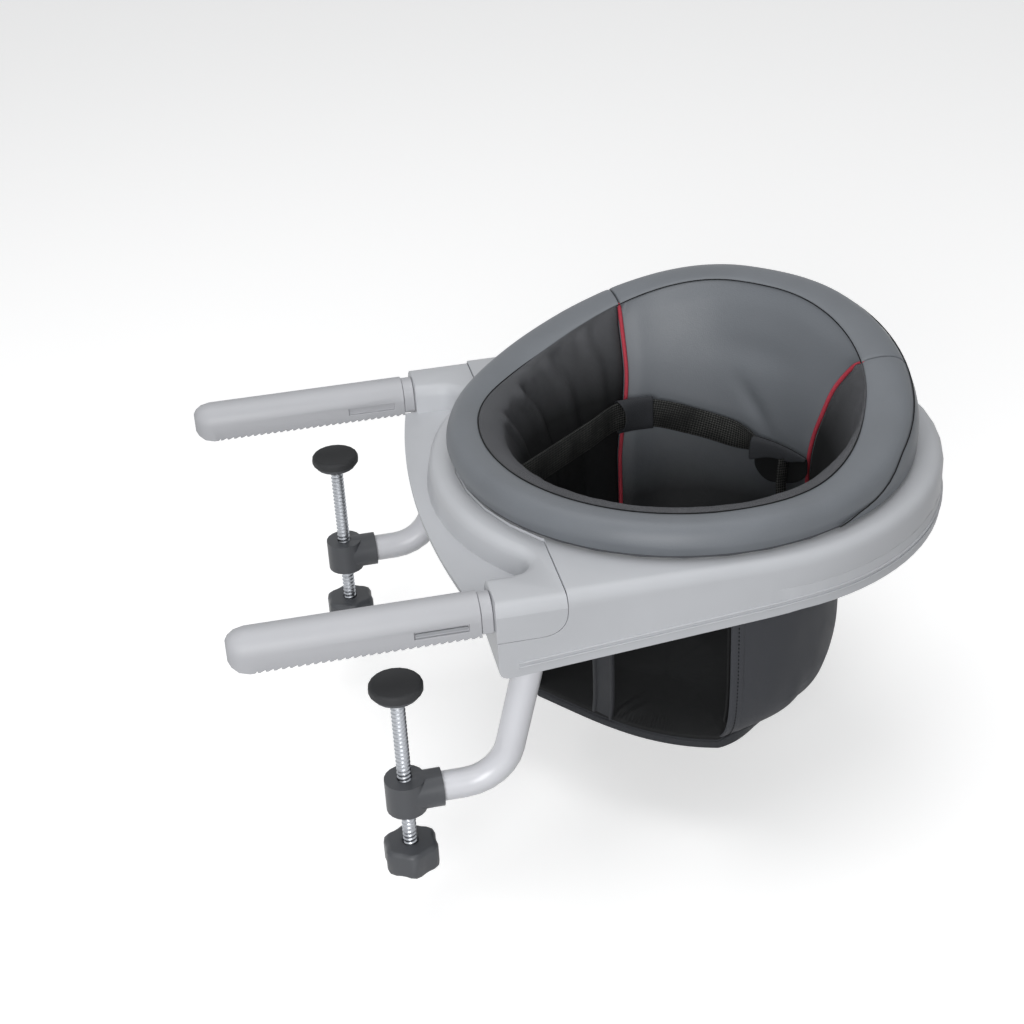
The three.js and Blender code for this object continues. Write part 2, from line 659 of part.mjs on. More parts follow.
const LOWER_AXIS = at(0, Math.sin(LOWER_TUBE_SLANT), Math.cos(LOWER_TUBE_SLANT));

function lowerAxisPoint(fromTop) {
  return lowerTubeAxis(0, LOWER_TUBE_TOP).addScaledVector(LOWER_AXIS, -fromTop);
}

function buildSocket(name, side) {
  const hub = new THREE.Group();
  hub.position.x = side * ARM_X;
  chair.add(hub);
  const top = COVER_TOP - WALL - SEAT_GAP;
  const narrow = SOCKET_HALF_WIDTH - SHOULDER_ROUND / 2;
  const shoulder = COVER_TOP - SHOULDER_ROUND - WALL;
  const section = [
    [-SOCKET_HALF_WIDTH, DEEP],
    [SOCKET_HALF_WIDTH, DEEP],
    [SOCKET_HALF_WIDTH, shoulder],
    [narrow, top],
    [-narrow, top],
    [-SOCKET_HALF_WIDTH, shoulder],
  ];
  const rough = solid(loft([SOCKET_FRONT, SOCKET_BACK].map((y) => section.map(([x, z]) => at(x, y, z)))));
  const bore = LOWER_TUBE_RADIUS + SEAT_GAP;
  const pocketTop = STOP_RING_DEPTH - SEAT_GAP;
  const pocketEnd = STOP_RING_DEPTH + STOP_RING_HEIGHT + SEAT_GAP;
  const socket = cut(
    rough,
    belowEdge(PLATE_INSET + PLATE_THICKNESS + SEAT_GAP),
    solid(rodBetween(
      TUBE_BORE,
      at(0, SOCKET_FRONT - 1, ARM_TUBE_HEIGHT),
      at(0, SOCKET_BACK + 1, ARM_TUBE_HEIGHT),
    )),
    solid(rodBetween(bore, lowerAxisPoint(-SEAT_GAP), lowerAxisPoint(-2 * LOWER_TUBE_Z))),
    solid(rodBetween(STOP_RING_RADIUS + SEAT_GAP, lowerAxisPoint(pocketTop), lowerAxisPoint(pocketEnd))),
    ...SOCKET_SCREW_YS.map((y) => {
      const top = edgeHeight(y) + SOCKET_SCREW_LENGTH;
      return solid(disc(SOCKET_SCREW_RADIUS + SEAT_GAP, DEEP, top, SCREW_SEGMENTS).translate(0, y, 0));
    }),
  );
  place(hub, `arm_socket_${name}`, socket, darkPlastic);

  SOCKET_SCREW_YS.forEach((y, i) => {
    const seatZ = edgeHeight(y) + PLATE_INSET - 2 * SEAT_GAP;
    const screw = turned([
      [0, seatZ - SCREW_HEAD_HEIGHT],
      [SCREW_HEAD_RADIUS, seatZ - SCREW_HEAD_HEIGHT],
      [SCREW_HEAD_RADIUS, seatZ],
      [SOCKET_SCREW_RADIUS, seatZ],
      [SOCKET_SCREW_RADIUS, edgeHeight(y) + SOCKET_SCREW_LENGTH - SEAT_GAP],
      [0, edgeHeight(y) + SOCKET_SCREW_LENGTH - SEAT_GAP],
    ], SCREW_SEGMENTS).translate(0, y, 0);
    place(hub, `socket_screw_${name}_${i + 1}`, screw, steel);
  });
}

// Lower arms and clamps

function lowerTubeRings(radius, overrun) {
  const down = LOWER_AXIS.clone().negate();
  const forward = at(0, -1, 0);
  const corner = lowerTubeAxis(0, LOWER_TUBE_DROP);
  const turn = Math.acos(down.dot(forward));
  const reach = LOWER_TUBE_BEND * Math.tan(turn / 2);
  const bendStart = corner.clone().addScaledVector(down, -reach);
  const inward = forward.clone().addScaledVector(down, -down.dot(forward)).normalize();
  const bendCentre = bendStart.clone().addScaledVector(inward, LOWER_TUBE_BEND);
  const segments = 12;
  const rings = [circleAt(lowerAxisPoint(-overrun), down, radius, segments)];
  const steps = 6;
  for (let i = 0; i <= steps; i += 1) {
    const angle = (turn * i) / steps;
    const direction = down.clone().multiplyScalar(Math.cos(angle)).addScaledVector(inward, Math.sin(angle));
    const outward = down.clone().multiplyScalar(Math.sin(angle)).addScaledVector(inward, -Math.cos(angle));
    const centre = bendCentre.clone().addScaledVector(outward, LOWER_TUBE_BEND);
    rings.push(circleAt(centre, direction, radius, segments));
  }
  const end = at(0, CLAMP_Y + CLAMP_TUBE_INSERT - overrun, LOWER_TUBE_DROP);
  rings.push(circleAt(end, forward, radius, segments));
  return rings;
}

function buildLowerArm(name, side) {
  const arm = new THREE.Group();
  arm.position.x = side * ARM_X;
  chair.add(arm);

  const tube = cut(
    solid(loft(lowerTubeRings(LOWER_TUBE_RADIUS, 0))),
    solid(loft(lowerTubeRings(LOWER_TUBE_RADIUS - LOWER_TUBE_WALL, 1))),
  );
  place(arm, `lower_arm_tube_${name}`, tube, whitePaint);

  const ringTop = lowerAxisPoint(STOP_RING_DEPTH);
  const ringEnd = lowerAxisPoint(STOP_RING_DEPTH + STOP_RING_HEIGHT);
  const stopRing = cut(
    solid(rodBetween(STOP_RING_RADIUS, ringTop, ringEnd)),
    solid(rodBetween(LOWER_TUBE_RADIUS + SEAT_GAP, lowerAxisPoint(0), lowerAxisPoint(2 * STOP_RING_DEPTH))),
  );
  place(arm, `stop_ring_${name}`, stopRing, steel);

  const vice = new THREE.Group();
  vice.position.y = CLAMP_Y;
  arm.add(vice);
  const tubeBore = LOWER_TUBE_RADIUS + SEAT_GAP;
  const nutBottom = HEAD_BOTTOM - NUT_PROUD;
  const head = cut(
    join(
      solid(disc(HEAD_RADIUS, HEAD_BOTTOM, HEAD_TOP)),
      solid(rodBetween(
        HEAD_RADIUS - 1,
        at(0, 0, LOWER_TUBE_DROP),
        at(0, HEAD_SOCKET_LENGTH, LOWER_TUBE_DROP),
      )),
    ),
    solid(rodBetween(
      tubeBore,
      at(0, CLAMP_TUBE_INSERT - SEAT_GAP, LOWER_TUBE_DROP),
      at(0, HEAD_SOCKET_LENGTH + 1, LOWER_TUBE_DROP),
    )),
    solid(disc(SCREW_BORE, 2 * LOWER_TUBE_DROP, 0, 16)),
    solid(disc(NUT_RADIUS + SEAT_GAP, 2 * LOWER_TUBE_DROP, nutBottom + NUT_HEIGHT + SEAT_GAP, 6)),
  );
  place(vice, `clamp_head_${name}`, head, darkPlastic);
  const nut = cut(
    solid(disc(NUT_RADIUS, nutBottom, nutBottom + NUT_HEIGHT, 6)),
    solid(disc(SCREW_BORE, 2 * LOWER_TUBE_DROP, 0, 16)),
  );
  place(vice, `clamp_nut_${name}`, nut, steel);

  const padRound = 2;
  place(vice, `clamp_pad_${name}`, turned([
    [0, -TABLE_THICKNESS - PAD_HEIGHT],
    [PAD_RADIUS, -TABLE_THICKNESS - PAD_HEIGHT],
    [PAD_RADIUS, -TABLE_THICKNESS - padRound],
    [PAD_RADIUS - padRound, -TABLE_THICKNESS],
    [0, -TABLE_THICKNESS],
  ]), rubber);
  place(vice, `pad_cup_${name}`, turned([
    [0, CUP_TOP],
    [CUP_RADIUS, CUP_TOP],
    [CUP_RADIUS, CUP_TOP - 0.4 * CUP_HEIGHT],
    [SCREW_BORE + 4, CUP_BOTTOM],
    [SCREW_BORE, CUP_BOTTOM],
    [SCREW_BORE, CUP_BOTTOM + CUP_SOCKET_DEPTH],
    [0, CUP_BOTTOM + CUP_SOCKET_DEPTH],
  ]), darkPlastic);

  const screwEnd = KNOB_TOP - KNOB_BORE_DEPTH + SEAT_GAP;
  place(vice, `clamp_screw_${name}`, disc(CLAMP_SCREW_RADIUS, screwEnd, SCREW_TOP, 16), steel);
  place(vice, `clamp_knob_${name}`, knob(), darkPlastic);
  const capTop = KNOB_TOP - KNOB_HEIGHT - SEAT_GAP;
  place(vice, `knob_cap_${name}`, disc(KNOB_CAP_RADIUS, capTop - KNOB_CAP_HEIGHT, capTop), baseGrey);
}

// A knob with lobes round its rim and a blind hole for the screw.
function knob() {
  const steps = 5 * KNOB_LOBES;
  const rim = (z, inset) => Array.from({ length: steps }, (_, i) => {
    const angle = (2 * Math.PI * i) / steps;
    const radius = KNOB_RADIUS - inset - KNOB_LOBE_DEPTH * (0.5 - 0.5 * Math.cos(KNOB_LOBES * angle));
    return at(radius * Math.cos(angle), radius * Math.sin(angle), z);
  });
  const bevel = 3;
  const bottom = KNOB_TOP - KNOB_HEIGHT;
  const body = solid(loft([
    rim(bottom, bevel),
    rim(bottom + bevel, 0),
    rim(KNOB_TOP - bevel, 0),
    rim(KNOB_TOP, bevel),
  ]));
  return cut(body, solid(disc(SCREW_BORE, KNOB_TOP - KNOB_BORE_DEPTH, KNOB_TOP + 1, 16)));
}

// Bearing of the seat and the detent that holds it at each quarter turn

// A rod along the detent's radius, in the base's frame.
function detentRod(radius, from, to, segments = 16) {
  const z = RETAINER_TOP - DETENT_DROP;
  const point = (reach) => at(reach * Math.cos(DETENT_AT), SEAT_AXIS_Y + reach * Math.sin(DETENT_AT), z);
  return rodBetween(radius, point(from), point(to), segments);
}

function buildBearing() {
  const glideBottom = DECK_TOP + SEAT_GAP;
  const glide = flatRing(GLIDE_INNER, GLIDE_OUTER, glideBottom, glideBottom + GLIDE_HEIGHT);
  place(chair, 'glide_ring', glide.translate(0, SEAT_AXIS_Y, 0), plastic(0xe6e6e2));

  const screwCircle = (SPIGOT_INNER + SPIGOT_OUTER) / 2;
  const screwTurn = (2 * Math.PI) / RETAINER_SCREWS;
  const screwAngles = Array.from({ length: RETAINER_SCREWS }, (_, i) => screwTurn * (i + 0.5));
  const onCircle = (geometry, angle) => geometry.translate(
    screwCircle * Math.cos(angle),
    screwCircle * Math.sin(angle),
    0,
  );
  const screwTop = RETAINER_TOP - RETAINER_HEIGHT + RETAINER_SCREW_LENGTH;
  const screwHole = () => disc(RETAINER_SCREW_RADIUS + SEAT_GAP, 0, screwTop + SEAT_GAP, SCREW_SEGMENTS);
  const holes = () => screwAngles.map((angle) => solid(onCircle(screwHole(), angle)));

  const frame = turned([
    [FLANGE_INNER, FLANGE_BOTTOM],
    [SPIGOT_INNER, FLANGE_BOTTOM],
    [SPIGOT_INNER, SPIGOT_BOTTOM],
    [SPIGOT_OUTER, SPIGOT_BOTTOM],
    [SPIGOT_OUTER, FLANGE_BOTTOM],
    [FLANGE_OUTER, FLANGE_BOTTOM],
    [FLANGE_OUTER, FLANGE_TOP],
    [FLANGE_INNER, FLANGE_TOP],
    [FLANGE_INNER, FLANGE_BOTTOM],
  ], RING_SEGMENTS);
  place(seat, 'seat_ring', cut(solid(frame), ...holes()), darkPlastic);

  const retainerBottom = RETAINER_TOP - RETAINER_HEIGHT;
  const notch = (i) => {
    const angle = DETENT_AT + (2 * Math.PI * i) / DETENT_NOTCHES;
    const centre = RETAINER_OUTER + PLUNGER_RADIUS - DETENT_DEPTH;
    return solid(disc(PLUNGER_RADIUS + SEAT_GAP, retainerBottom - 1, RETAINER_TOP + 1, 16)
      .translate(centre * Math.cos(angle), centre * Math.sin(angle), 0));
  };
  const retainer = cut(
    solid(flatRing(SPIGOT_INNER, RETAINER_OUTER, retainerBottom, RETAINER_TOP)),
    ...holes(),
    ...Array.from({ length: DETENT_NOTCHES }, (_, i) => notch(i)),
  );
  place(seat, 'seat_retainer', retainer, darkPlastic);
  screwAngles.forEach((angle, i) => {
    const headTop = retainerBottom - SEAT_GAP;
    const screw = turned([
      [0, headTop - SCREW_HEAD_HEIGHT],
      [SCREW_HEAD_RADIUS - 0.5, headTop - SCREW_HEAD_HEIGHT],
      [SCREW_HEAD_RADIUS - 0.5, headTop],
      [RETAINER_SCREW_RADIUS, headTop],
      [RETAINER_SCREW_RADIUS, screwTop],
      [0, screwTop],
    ], SCREW_SEGMENTS);
    place(seat, `retainer_screw_${i + 1}`, onCircle(screw, angle), steel);
  });
}

function buildDetent() {
  const tip = RETAINER_OUTER + SEAT_GAP;
  const tail = tip + PLUNGER_LENGTH;
  const boreRadius = SPRING_RADIUS + SPRING_WIRE + SEAT_GAP;
  const boreStart = tip + PLUNGER_NOSE;
  const plunger = cut(
    solid(detentRod(PLUNGER_RADIUS, tip, tail)),
    solid(detentRod(boreRadius, boreStart, tail + 1)),
  );
  place(chair, 'detent_plunger', plunger, steel);

  const cavity = PLUNGER_RADIUS + SEAT_GAP;
  const cavityEnd = tail + PLUNGER_TRAVEL + SEAT_GAP;
  const housing = cut(
    solid(detentRod(cavity + DETENT_WALL, RING_WALL_RADIUS + SEAT_GAP, cavityEnd + DETENT_WALL)),
    solid(detentRod(cavity, RING_WALL_RADIUS - 1, cavityEnd)),
  );
  place(chair, 'detent_housing', housing, darkPlastic);

  const springEnd = cavityEnd - SEAT_GAP - SPRING_WIRE;
  const coil = helix(springEnd);
  place(chair, 'detent_spring', coil, steel);
}

// One unbroken coil along the detent's radius. Its least gap between turns is printed.
function helix(endReach) {
  const stepsPerTurn = 8;
  const sidesOfWire = 5;
  const radial = at(Math.cos(DETENT_AT), Math.sin(DETENT_AT), 0);
  const across = at(-Math.sin(DETENT_AT), Math.cos(DETENT_AT), 0);
  const up = at(0, 0, 1);
  const middle = at(0, SEAT_AXIS_Y, RETAINER_TOP - DETENT_DROP);
  const steps = SPRING_TURNS * stepsPerTurn;
  const centreAt = (i) => {
    const angle = (2 * Math.PI * i) / stepsPerTurn;
    return middle.clone()
      .addScaledVector(radial, endReach - SPRING_TURNS * SPRING_PITCH + (SPRING_PITCH * i) / stepsPerTurn)
      .addScaledVector(across, SPRING_RADIUS * Math.cos(angle))
      .addScaledVector(up, SPRING_RADIUS * Math.sin(angle));
  };
  const centres = Array.from({ length: steps + 1 }, (_, i) => centreAt(i));
  const rings = centres.map((centre, i) => {
    const direction = centreAt(i + 0.5).sub(centreAt(i - 0.5)).normalize();
    const outward = centre.clone().sub(middle).projectOnPlane(radial).projectOnPlane(direction).normalize();
    const upward = direction.clone().cross(outward);
    return Array.from({ length: sidesOfWire }, (_, k) => {
      const angle = (2 * Math.PI * k) / sidesOfWire;
      return centre.clone()
        .addScaledVector(outward, SPRING_WIRE * Math.cos(angle))
        .addScaledVector(upward, SPRING_WIRE * Math.sin(angle));
    });
  });
  let least = Infinity;
  centres.forEach((a, i) => centres.slice(i + stepsPerTurn / 2).forEach((b) => {
    least = Math.min(least, a.distanceTo(b) - 2 * SPRING_WIRE);
  }));
  console.log(`least gap between the detent spring's turns: ${least.toFixed(2)} mm`);
  return loft(rings);
}

// Seat cushioning, in the seat's own frame: it faces -Y there, and angles are degrees from straight back.

function polar(radius, angle, z) {
  return at(-radius * Math.sin(degToRad(angle)), radius * Math.cos(degToRad(angle)), z);
}

// 0 at the low front of the rim, 1 at the top of the back
const rise = (angle) => 1 - smoothstep(Math.abs(angle), RIM_BACK_FULL, RIM_BACK_END);
const rimTop = (angle) => lerp(RIM_FRONT_TOP, RIM_BACK_TOP, rise(angle));

// Section of the padded rim: a fat roll in front that grows into a padded wall at the back.
function rimSection(angle) {
  const k = rise(angle);
  const top = rimTop(angle);
  const seatZ = FLANGE_TOP + SEAT_GAP;
  const lipInner = FLANGE_OUTER + SEAM_GAP;
  const middle = (RIM_OUTER + RIM_INNER) / 2;
  const section = [
    [RIM_INNER, seatZ],
    [lipInner, seatZ],
    [lipInner, RIM_LIP_BOTTOM],
    [RIM_OUTER - RIM_LIP_ROUND, RIM_LIP_BOTTOM],
    [RIM_OUTER, RIM_LIP_BOTTOM + 3 * RIM_LIP_ROUND],
    [RIM_OUTER + RIM_SWELL * k, lerp(seatZ, top, 0.36)],
    [RIM_OUTER - 2.5, lerp(seatZ, top, 0.7)],
    [RIM_OUTER - 8, lerp(seatZ, top, 0.9)],
    [middle + 2, top - 1],
    [middle - 5 - 2 * k, top],
    [RIM_INNER + 7 - 3 * k, top - 2],
    [RIM_INNER + 3 - 3 * k, top - 7 - 3 * k],
    [RIM_INNER + 1.5 - 3 * k, lerp(seatZ, top, 0.4)],
  ];
  return section.map(([radius, z]) => polar(radius, angle, z));
}

const spread = (from, to, step) => {
  const count = Math.ceil((to - from) / step);
  return Array.from({ length: count + 1 }, (_, i) => lerp(from, to, i / count));
};

const SEAM_ANGLE = 0.1; // degrees on each side of a sewn seam
const RIM_STEP = 7.5; // degrees between the rim's sections

function buildRim() {
  const back = spread(-RIM_SEAM + SEAM_ANGLE, RIM_SEAM - SEAM_ANGLE, RIM_STEP);
  place(seat, 'rim_pad_back', loft(back.map(rimSection)), vinylGrey);
  const front = spread(RIM_SEAM + SEAM_ANGLE, 360 - RIM_SEAM - SEAM_ANGLE, RIM_STEP);
  place(seat, 'rim_pad_front', loft(front.map((angle) => rimSection(wrapped(angle)))), vinylGrey);
  const inner = RIM_OUTER + RIM_SWELL + SEAM_GAP;
  const skirt = spread(-SKIRT_HALF_SPAN, SKIRT_HALF_SPAN, RIM_STEP).map((angle) => {
    const fade = smoothstep(SKIRT_HALF_SPAN - Math.abs(angle), 0, 50);
    const top = lerp(RIM_LIP_BOTTOM + 4, SKIRT_TOP, fade);
    return [
      polar(inner, angle, RIM_LIP_BOTTOM),
      polar(inner + SKIRT_THICKNESS, angle, RIM_LIP_BOTTOM),
      polar(inner + SKIRT_THICKNESS, angle, top - 1),
      polar(inner, angle, top),
    ];
  });
  place(seat, 'rim_skirt', loft(skirt), vinylGrey);
}

// Angles past straight forward, brought back into -180 to 180
const wrapped = (angle) => (angle > 180 ? angle - 360 : angle);

// Outer radius of the hanging bag: a funnel under the rim, then a drum that closes towards the pan
function bagRadius(z, angle) {
  if (z > BAG_NECK_Z) {
    const share = clamp((z - BAG_NECK_Z) / (BAG_TOP - 6 - BAG_NECK_Z), 0, 1);
    return lerp(BAG_NECK_RADIUS, BAG_TOP_RADIUS, share ** 1.2);
  }
  const towardsHem = smoothstep(Math.abs(angle), 20, BAG_HEM);
  const middle = lerp(BAG_BACK_BOTTOM_RADIUS, BAG_HEM_BOTTOM_RADIUS, towardsHem);
  const bottom = middle + BAG_LEAN * Math.sin(degToRad(angle));
  const share = (BAG_NECK_Z - z) / (BAG_NECK_Z - BAG_BOTTOM);
  return lerp(BAG_NECK_RADIUS, bottom, clamp(share, 0, 1) ** BAG_CLOSING);
}

function liningRadius(z, angle) {
  const inBag = bagRadius(Math.min(z, BAG_TOP), angle) - BAG_CLOTH - LINING_CLEARANCE;
  const inRim = LINING_TOP_RADIUS + 2.5 * (1 - rise(angle));
  return lerp(inBag, inRim, smoothstep(z, BAG_TOP, BAG_TOP + LINING_STEP_OUT));
}

// Levels of the bag, closer together at the bottom, where it closes
const BAG_STEPS = 8;
const bagShares = Array.from({ length: BAG_STEPS + 1 }, (_, i) => (i / BAG_STEPS) ** 1.5);
const bagHeights = bagShares.map((share) => lerp(BAG_BOTTOM, BAG_TOP, share));

// Levels of the lining's pieces: those of the bag round it, then out to the rim above it
function liningHeights(top) {
  const inBag = bagHeights.filter((z) => z > LINING_SIDE_BOTTOM);
  const outAt = BAG_TOP + LINING_STEP_OUT;
  return [LINING_SIDE_BOTTOM, ...inBag, outAt, lerp(outAt, top, 0.5), top];
}

// Section of a hanging wall: up its outer face and down its inner face.
function wallSection(heights, angleAt, outer, thickness) {
  const face = (inset) => heights.map((z) => polar(outer(z, angleAt(z)) - inset, angleAt(z), z));
  return [...face(0), ...face(thickness).reverse()];
}

// Angle of a piping at a height: upright on the left, leaning to the back on the right
function pipingAngle(side, z) {
  const lean = side < 0 ? 0 : PIPING_SWING * smoothstep(RIM_BACK_TOP - z, 20, 160);
  return -side * (RIM_SEAM - lean);
}

// Degrees from a piping's centre to the edge of the panel that is sewn to it
function pipingSeat(side, z) {
  const radius = liningRadius(z, pipingAngle(side, z)) - LINING_PAD;
  return radToDeg((PIPING_RADIUS + PIPING_GAP) / radius);
}

function buildBag() {
  const bag = spread(-BAG_HEM, BAG_HEM, 9.5).map((angle) => (
    wallSection(bagHeights, () => angle, bagRadius, BAG_CLOTH)
  ));
  place(seat, 'bag_cloth', loft(bag, stripTriangles), blackCloth);

  const panelSection = (share) => {
    const top = (angle) => rimTop(angle) - PANEL_BELOW_RIM;
    const edge = pipingAngle(share < 0.5 ? 1 : -1, RIM_BACK_TOP);
    const highest = lerp(top(0), top(edge), Math.abs(2 * share - 1) ** 2);
    const heights = liningHeights(highest);
    const angleAt = (z) => lerp(
      pipingAngle(1, z) + pipingSeat(1, z),
      pipingAngle(-1, z) - pipingSeat(-1, z),
      share,
    );
    const crown = PANEL_CROWN * (1 - (2 * share - 1) ** 2);
    return wallSection(heights, angleAt, liningRadius, LINING_PAD + crown);
  };
  const panelSteps = 12;
  const panel = Array.from({ length: panelSteps + 1 }, (_, i) => panelSection(i / panelSteps));
  place(seat, 'back_panel', loft(panel, stripTriangles), vinylGrey);

  const liningSteps = 24;
  const liningSection = (share) => {
    const middle = lerp(RIM_SEAM, 360 - RIM_SEAM, share);
    const top = rimTop(wrapped(middle)) - LINING_BELOW_RIM - 5 * rise(wrapped(middle));
    const heights = liningHeights(top);
    const angleAt = (z) => {
      const from = pipingAngle(-1, z) + pipingSeat(-1, z);
      const to = 360 + pipingAngle(1, z) - pipingSeat(1, z);
      return wrapped(lerp(from, to, share));
    };
    return wallSection(heights, angleAt, liningRadius, LINING_PAD);
  };
  const lining = Array.from({ length: liningSteps + 1 }, (_, i) => liningSection(i / liningSteps));
  const openFront = new THREE.Shape();
  [BAG_HEM, 180, -BAG_HEM].forEach((angle) => {
    const corner = polar(WIDE, angle, 0);
    openFront.lineTo(corner.x, corner.y);
  });
  const frontCut = solid(upright(openFront, 2 * DEEP, LINING_FRONT_BOTTOM));
  place(seat, 'side_lining', cut(solid(loft(lining, stripTriangles)), frontCut), blackCloth);

  Object.entries(sides).forEach(([name, side]) => {
    const levels = liningHeights(rimTop(RIM_SEAM) - PANEL_BELOW_RIM).slice(1);
    const spine = levels.map((z) => {
      const angle = pipingAngle(side, z);
      return polar(liningRadius(z, angle) - LINING_PAD + 1, angle, z);
    });
    const rings = spine.map((centre, i) => {
      const before = spine[Math.max(i - 1, 0)];
      const after = spine[Math.min(i + 1, spine.length - 1)];
      return circleAt(centre, after.clone().sub(before).normalize(), PIPING_RADIUS, 6);
    });
    place(seat, `piping_${name}`, loft(rings), pipingRed);
  });
}

// Seat pan: the bag's round bottom with a bowed front edge, crowned on top.
function panOutline(inset) {
  const around = spread(-BAG_HEM, BAG_HEM, 12).map((angle) => (
    polar(bagRadius(BAG_BOTTOM, angle) + PAN_PROUD - inset, angle, 0)
  ));
  const [corner] = around;
  const front = spread(-0.8, 0.8, 0.4).map((share) => (
    at(share * corner.x, -lerp(PAN_FRONT - inset, -corner.y, share ** 2), 0)
  ));
  return [...around, ...front];
}

function buildPan() {
  const ring = (z, inset) => panOutline(inset).map((point) => at(point.x, point.y, z));
  place(seat, 'seat_pan', loft([
    ring(PAN_BOTTOM, PAN_ROUND),
    ring(PAN_BOTTOM + PAN_ROUND, 0),
    ring(PAN_TOP, 0),
    ring(PAN_TOP, PAN_MARGIN),
    ring(PAN_TOP + PAN_CROWN, PAN_MARGIN + PAN_SLOPE),
  ]), blackCloth);

  const strapTop = liningRadius(LINING_FRONT_BOTTOM, 180) - LINING_PAD / 2;
  const strapFoot = PAN_FRONT + STRAP_THICKNESS / 2;
  const strapEnd = (x, y, z) => [[-1, -1], [1, -1], [1, 1], [-1, 1]].map(([a, b]) => (
    at(x + (a * STRAP_WIDTH) / 2, y + (b * STRAP_THICKNESS) / 2, z)
  ));
  place(seat, 'crotch_strap', loft([
    strapEnd(0, -strapTop, LINING_FRONT_BOTTOM - SEAT_GAP),
    strapEnd(-STRAP_LEAN, -strapFoot, PAN_TOP - PAN_ROUND),
  ]), blackCloth);
}

// A flat strap along a path, with its width upright
function flatStrap(path, width, thickness, steps) {
  const rings = Array.from({ length: steps + 1 }, (_, i) => {
    const centre = path.getPointAt(i / steps);
    const direction = path.getTangentAt(i / steps);
    const wide = at(0, 0, 1).projectOnPlane(direction).normalize();
    const thin = direction.clone().cross(wide);
    return [[-1, -1], [1, -1], [1, 1], [-1, 1]].map(([a, b]) => centre.clone()
      .addScaledVector(wide, (a * width) / 2)
      .addScaledVector(thin, (b * thickness) / 2));
  });
  return loft(rings);
}

// Waist belt: webbing that lies round the inside of the bucket, with a cloth keeper near each end
function beltPath() {
  const lies = (angle, z) => polar(BELT_RADIUS, angle, z);
  const sewn = (angle, z) => polar(liningRadius(z, angle) - LINING_PAD - WEBBING_THICKNESS, angle, z);
  return new THREE.CatmullRomCurve3([
    sewn(BELT_FROM, BELT_END_Z),
    lies(90, -25),
    lies(74, -16),
    lies(57, -5),
    lies(41, -5),
    lies(23, -16),
    lies(7, -23),
    lies(-8, -27),
    lies(-34, -33),
    sewn(BELT_TO, BELT_END_Z),
  ]);
}

// Share of the belt's length at an angle from straight back
function beltShare(path, angle) {
  const samples = 400;
  const angleAt = (i) => {
    const point = path.getPointAt(i / samples);
    return radToDeg(Math.atan2(-point.x, point.y));
  };
  let i = 0;
  while (i < samples && angleAt(i) > angle) i += 1;
  return i / samples;
}

function buildBelt() {
  const path = beltPath();
  place(seat, 'waist_belt', flatStrap(path, WEBBING_WIDTH, WEBBING_THICKNESS, 28), webbing);
  Object.entries(KEEPER_SPANS).forEach(([name, angles]) => {
    const [from, to] = angles.map((angle) => beltShare(path, angle));
    const span = subPath(path, from, to);
    const outerThickness = WEBBING_THICKNESS + 2 * SEAM_GAP + 2 * KEEPER_THICKNESS;
    const outer = solid(flatStrap(span, KEEPER_WIDTH, outerThickness, 6));
    const reach = subPath(path, from - 0.02, to + 0.02);
    const innerThickness = WEBBING_THICKNESS + 2 * SEAM_GAP;
    const inner = solid(flatStrap(reach, WEBBING_WIDTH + 2 * SEAM_GAP, innerThickness, 10));
    place(seat, `belt_keeper_${name}`, cut(outer, inner), blackCloth);
  });
}

function subPath(path, from, to) {
  const steps = 8;
  return new THREE.CatmullRomCurve3(Array.from({ length: steps + 1 }, (_, i) => (
    path.getPointAt(lerp(from, to, i / steps))
  )));
}

buildBase();
Object.entries(sides).forEach(([name, side]) => {
  buildArm(name, side);
  buildSocket(name, side);
  buildLowerArm(name, side);
});
buildBearing();
buildDetent();
buildRim();
buildBag();
buildPan();
buildBelt();

export default chair;
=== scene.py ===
"""Looks of a hook-on table chair: a moulded base with two arms and screw clamps, and a padded seat."""

import json
from math import atan2, cos, degrees, exp, pi, radians, sin, sqrt, tau

import bmesh
import bpy
from mathutils import Matrix, Vector, noise

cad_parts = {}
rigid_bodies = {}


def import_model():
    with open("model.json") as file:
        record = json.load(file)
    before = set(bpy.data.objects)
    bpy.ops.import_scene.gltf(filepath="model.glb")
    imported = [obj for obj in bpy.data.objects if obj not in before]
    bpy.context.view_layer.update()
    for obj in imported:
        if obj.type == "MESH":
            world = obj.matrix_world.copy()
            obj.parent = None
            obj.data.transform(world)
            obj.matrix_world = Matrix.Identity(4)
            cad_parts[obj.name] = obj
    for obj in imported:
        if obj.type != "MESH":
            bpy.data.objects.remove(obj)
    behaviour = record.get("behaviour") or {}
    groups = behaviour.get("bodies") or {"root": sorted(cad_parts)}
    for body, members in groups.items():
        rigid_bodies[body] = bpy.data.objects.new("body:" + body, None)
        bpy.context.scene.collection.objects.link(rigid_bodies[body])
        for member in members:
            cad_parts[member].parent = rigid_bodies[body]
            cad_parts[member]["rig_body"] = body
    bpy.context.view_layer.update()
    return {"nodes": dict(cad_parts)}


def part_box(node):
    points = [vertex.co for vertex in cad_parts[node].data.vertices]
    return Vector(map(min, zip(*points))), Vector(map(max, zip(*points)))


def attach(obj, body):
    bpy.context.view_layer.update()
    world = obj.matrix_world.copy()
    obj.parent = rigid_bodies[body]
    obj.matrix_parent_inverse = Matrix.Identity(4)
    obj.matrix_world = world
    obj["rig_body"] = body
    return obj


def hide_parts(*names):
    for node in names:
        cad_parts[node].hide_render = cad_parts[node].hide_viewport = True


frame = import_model()

